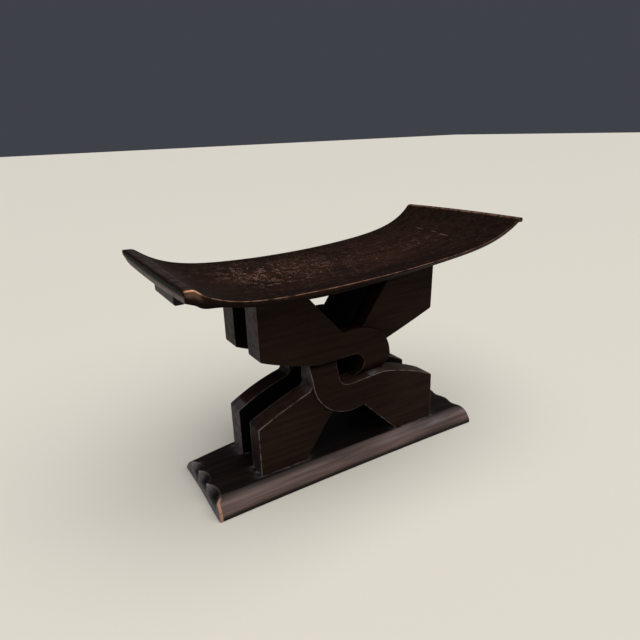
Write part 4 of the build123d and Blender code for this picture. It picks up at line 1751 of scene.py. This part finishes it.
@dataclass
class Studio:
    """Plain pale floor, a soft lamp and the camera."""

    lamp_way: tuple[float, float, float] = (0.05, -0.35, 0.93)
    lamp_angle: float = 85.0
    lamp_strength: float = 3.65
    surround: Colour = (0.05, 0.053, 0.065, 1.0)
    floor_half: float = 20.0
    floor_colour: Colour = (0.65, 0.612, 0.533, 1.0)
    floor_roughness: float = 0.75
    place: tuple[float, float, float] = (-0.4478, -0.7203, 0.535)
    yaw: float = 30.996
    pitch: float = 18.444
    roll: float = -2.040
    lens: float = 30.73
    shift: tuple[float, float] = (-0.0047, -0.0152)

    def camera(self) -> None:
        """Places the camera: right, up and back axes from yaw, pitch and roll."""
        yaw, pitch, roll = (math.radians(angle) for angle in (self.yaw, self.pitch, self.roll))
        ahead = Vector((math.sin(yaw) * math.cos(pitch), math.cos(yaw) * math.cos(pitch), -math.sin(pitch)))
        right = Vector((math.cos(yaw), -math.sin(yaw), 0.0))
        up = right.cross(ahead)
        right, up = (
            math.cos(roll) * right + math.sin(roll) * up,
            math.cos(roll) * up - math.sin(roll) * right,
        )
        lens = bpy.data.cameras.new("camera")
        lens.lens = self.lens
        lens.shift_x, lens.shift_y = self.shift
        lens.clip_start, lens.clip_end = 0.01, 100.0
        camera = bpy.data.objects.new("camera", lens)
        turn = Matrix((right, up, -ahead)).transposed()
        camera.matrix_world = Matrix.Translation(self.place) @ turn.to_4x4()
        bpy.context.scene.collection.objects.link(camera)
        bpy.context.scene.camera = camera

    def floor(self) -> None:
        """A wide pale floor."""
        corners = np.array([[-1.0, -1.0, 0.0], [1.0, -1.0, 0.0], [1.0, 1.0, 0.0], [-1.0, 1.0, 0.0]])
        floor = make_object("floor", Surface(self.floor_half * corners, [[0, 1, 2, 3]]))
        made = Nodes("pale_floor")
        made.shader.inputs["Base Color"].default_value = self.floor_colour
        made.shader.inputs["Roughness"].default_value = self.floor_roughness
        floor.data.materials.append(made.material)

    def light(self) -> None:
        """One very wide soft lamp overhead, in front and a little to the right, and a dim even surround."""
        lamp_data = bpy.data.lights.new("sky", "SUN")
        lamp_data.angle = math.radians(self.lamp_angle)
        lamp_data.energy = self.lamp_strength
        lamp = bpy.data.objects.new("sky", lamp_data)
        lamp.rotation_euler = Vector(self.lamp_way).to_track_quat("Z", "Y").to_euler()
        bpy.context.scene.collection.objects.link(lamp)
        world = bpy.data.worlds.new("surround")
        world.use_nodes = True
        world.node_tree.nodes["Background"].inputs["Color"].default_value = self.surround
        bpy.context.scene.world = world
        bpy.context.scene.view_settings.view_transform = "Standard"


def main() -> None:
    """Builds the studio and the pieces in order."""
    logging.basicConfig(level=logging.INFO, format="%(message)s")
    studio = Studio()
    studio.camera()
    studio.floor()
    studio.light()
    close_grain = (9.0, 150.0, 150.0)
    panel_wood = BlackenedWood(
        "panel_finish", deep=colour(22, 13, 9), brown=colour(32, 20, 13), warm=colour(52, 38, 32),
        worn=colour(150, 126, 118), wear=0.7, gloss=0.03, grain=close_grain).material()
    # The seat's pale colour is only painted reflection and sheen: on its left end, its left tip and its front
    # edge.
    seat_wood = BlackenedWood(
        "seat_finish", deep=colour(17, 10, 7), brown=colour(31, 18, 12), warm=colour(48, 28, 19),
        worn=colour(172, 126, 102), tan=colour(235, 172, 130), dust=colour(140, 129, 124),
        fleck=colour(158, 124, 108), flecks=0.85, scratches=SEAT_SCRATCHES, wear=0.7,
        gloss=0.03, roughness=0.55).material()
    # The base's warm colour is the painted sheen of its slopes; its pale colour serves dust, painted sheen
    # and reflection.
    base_wood = BlackenedWood(
        "base_finish", warm=colour(112, 90, 82), tan=colour(164, 118, 84), dust=colour(122, 114, 120),
        gloss=0.15, grain=close_grain).material()
    lug_wood = BlackenedWood("lug_finish", gloss=0.15).material()
    dress(make_object("seat_plank", Seat().surface()), seat_wood, "seat")
    dress(make_object("base_plank", BasePlank().surface()), base_wood, "base")
    for node in ("left_grip_lug", "right_grip_lug"):
        dress(make_object(f"{node}_wood", GripLug(node).surface()), lug_wood, node)
    for side in Side:
        for node, piece in Panel(side).build().items():
            dress(piece, panel_wood, node)
    dowel_wood = BareWood().material()
    for node in ("seat_dowels", "base_dowels", "lug_dowels"):
        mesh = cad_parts[node].data
        mesh.materials.clear()
        mesh.materials.append(dowel_wood)


if __name__ == "__main__":
    main()
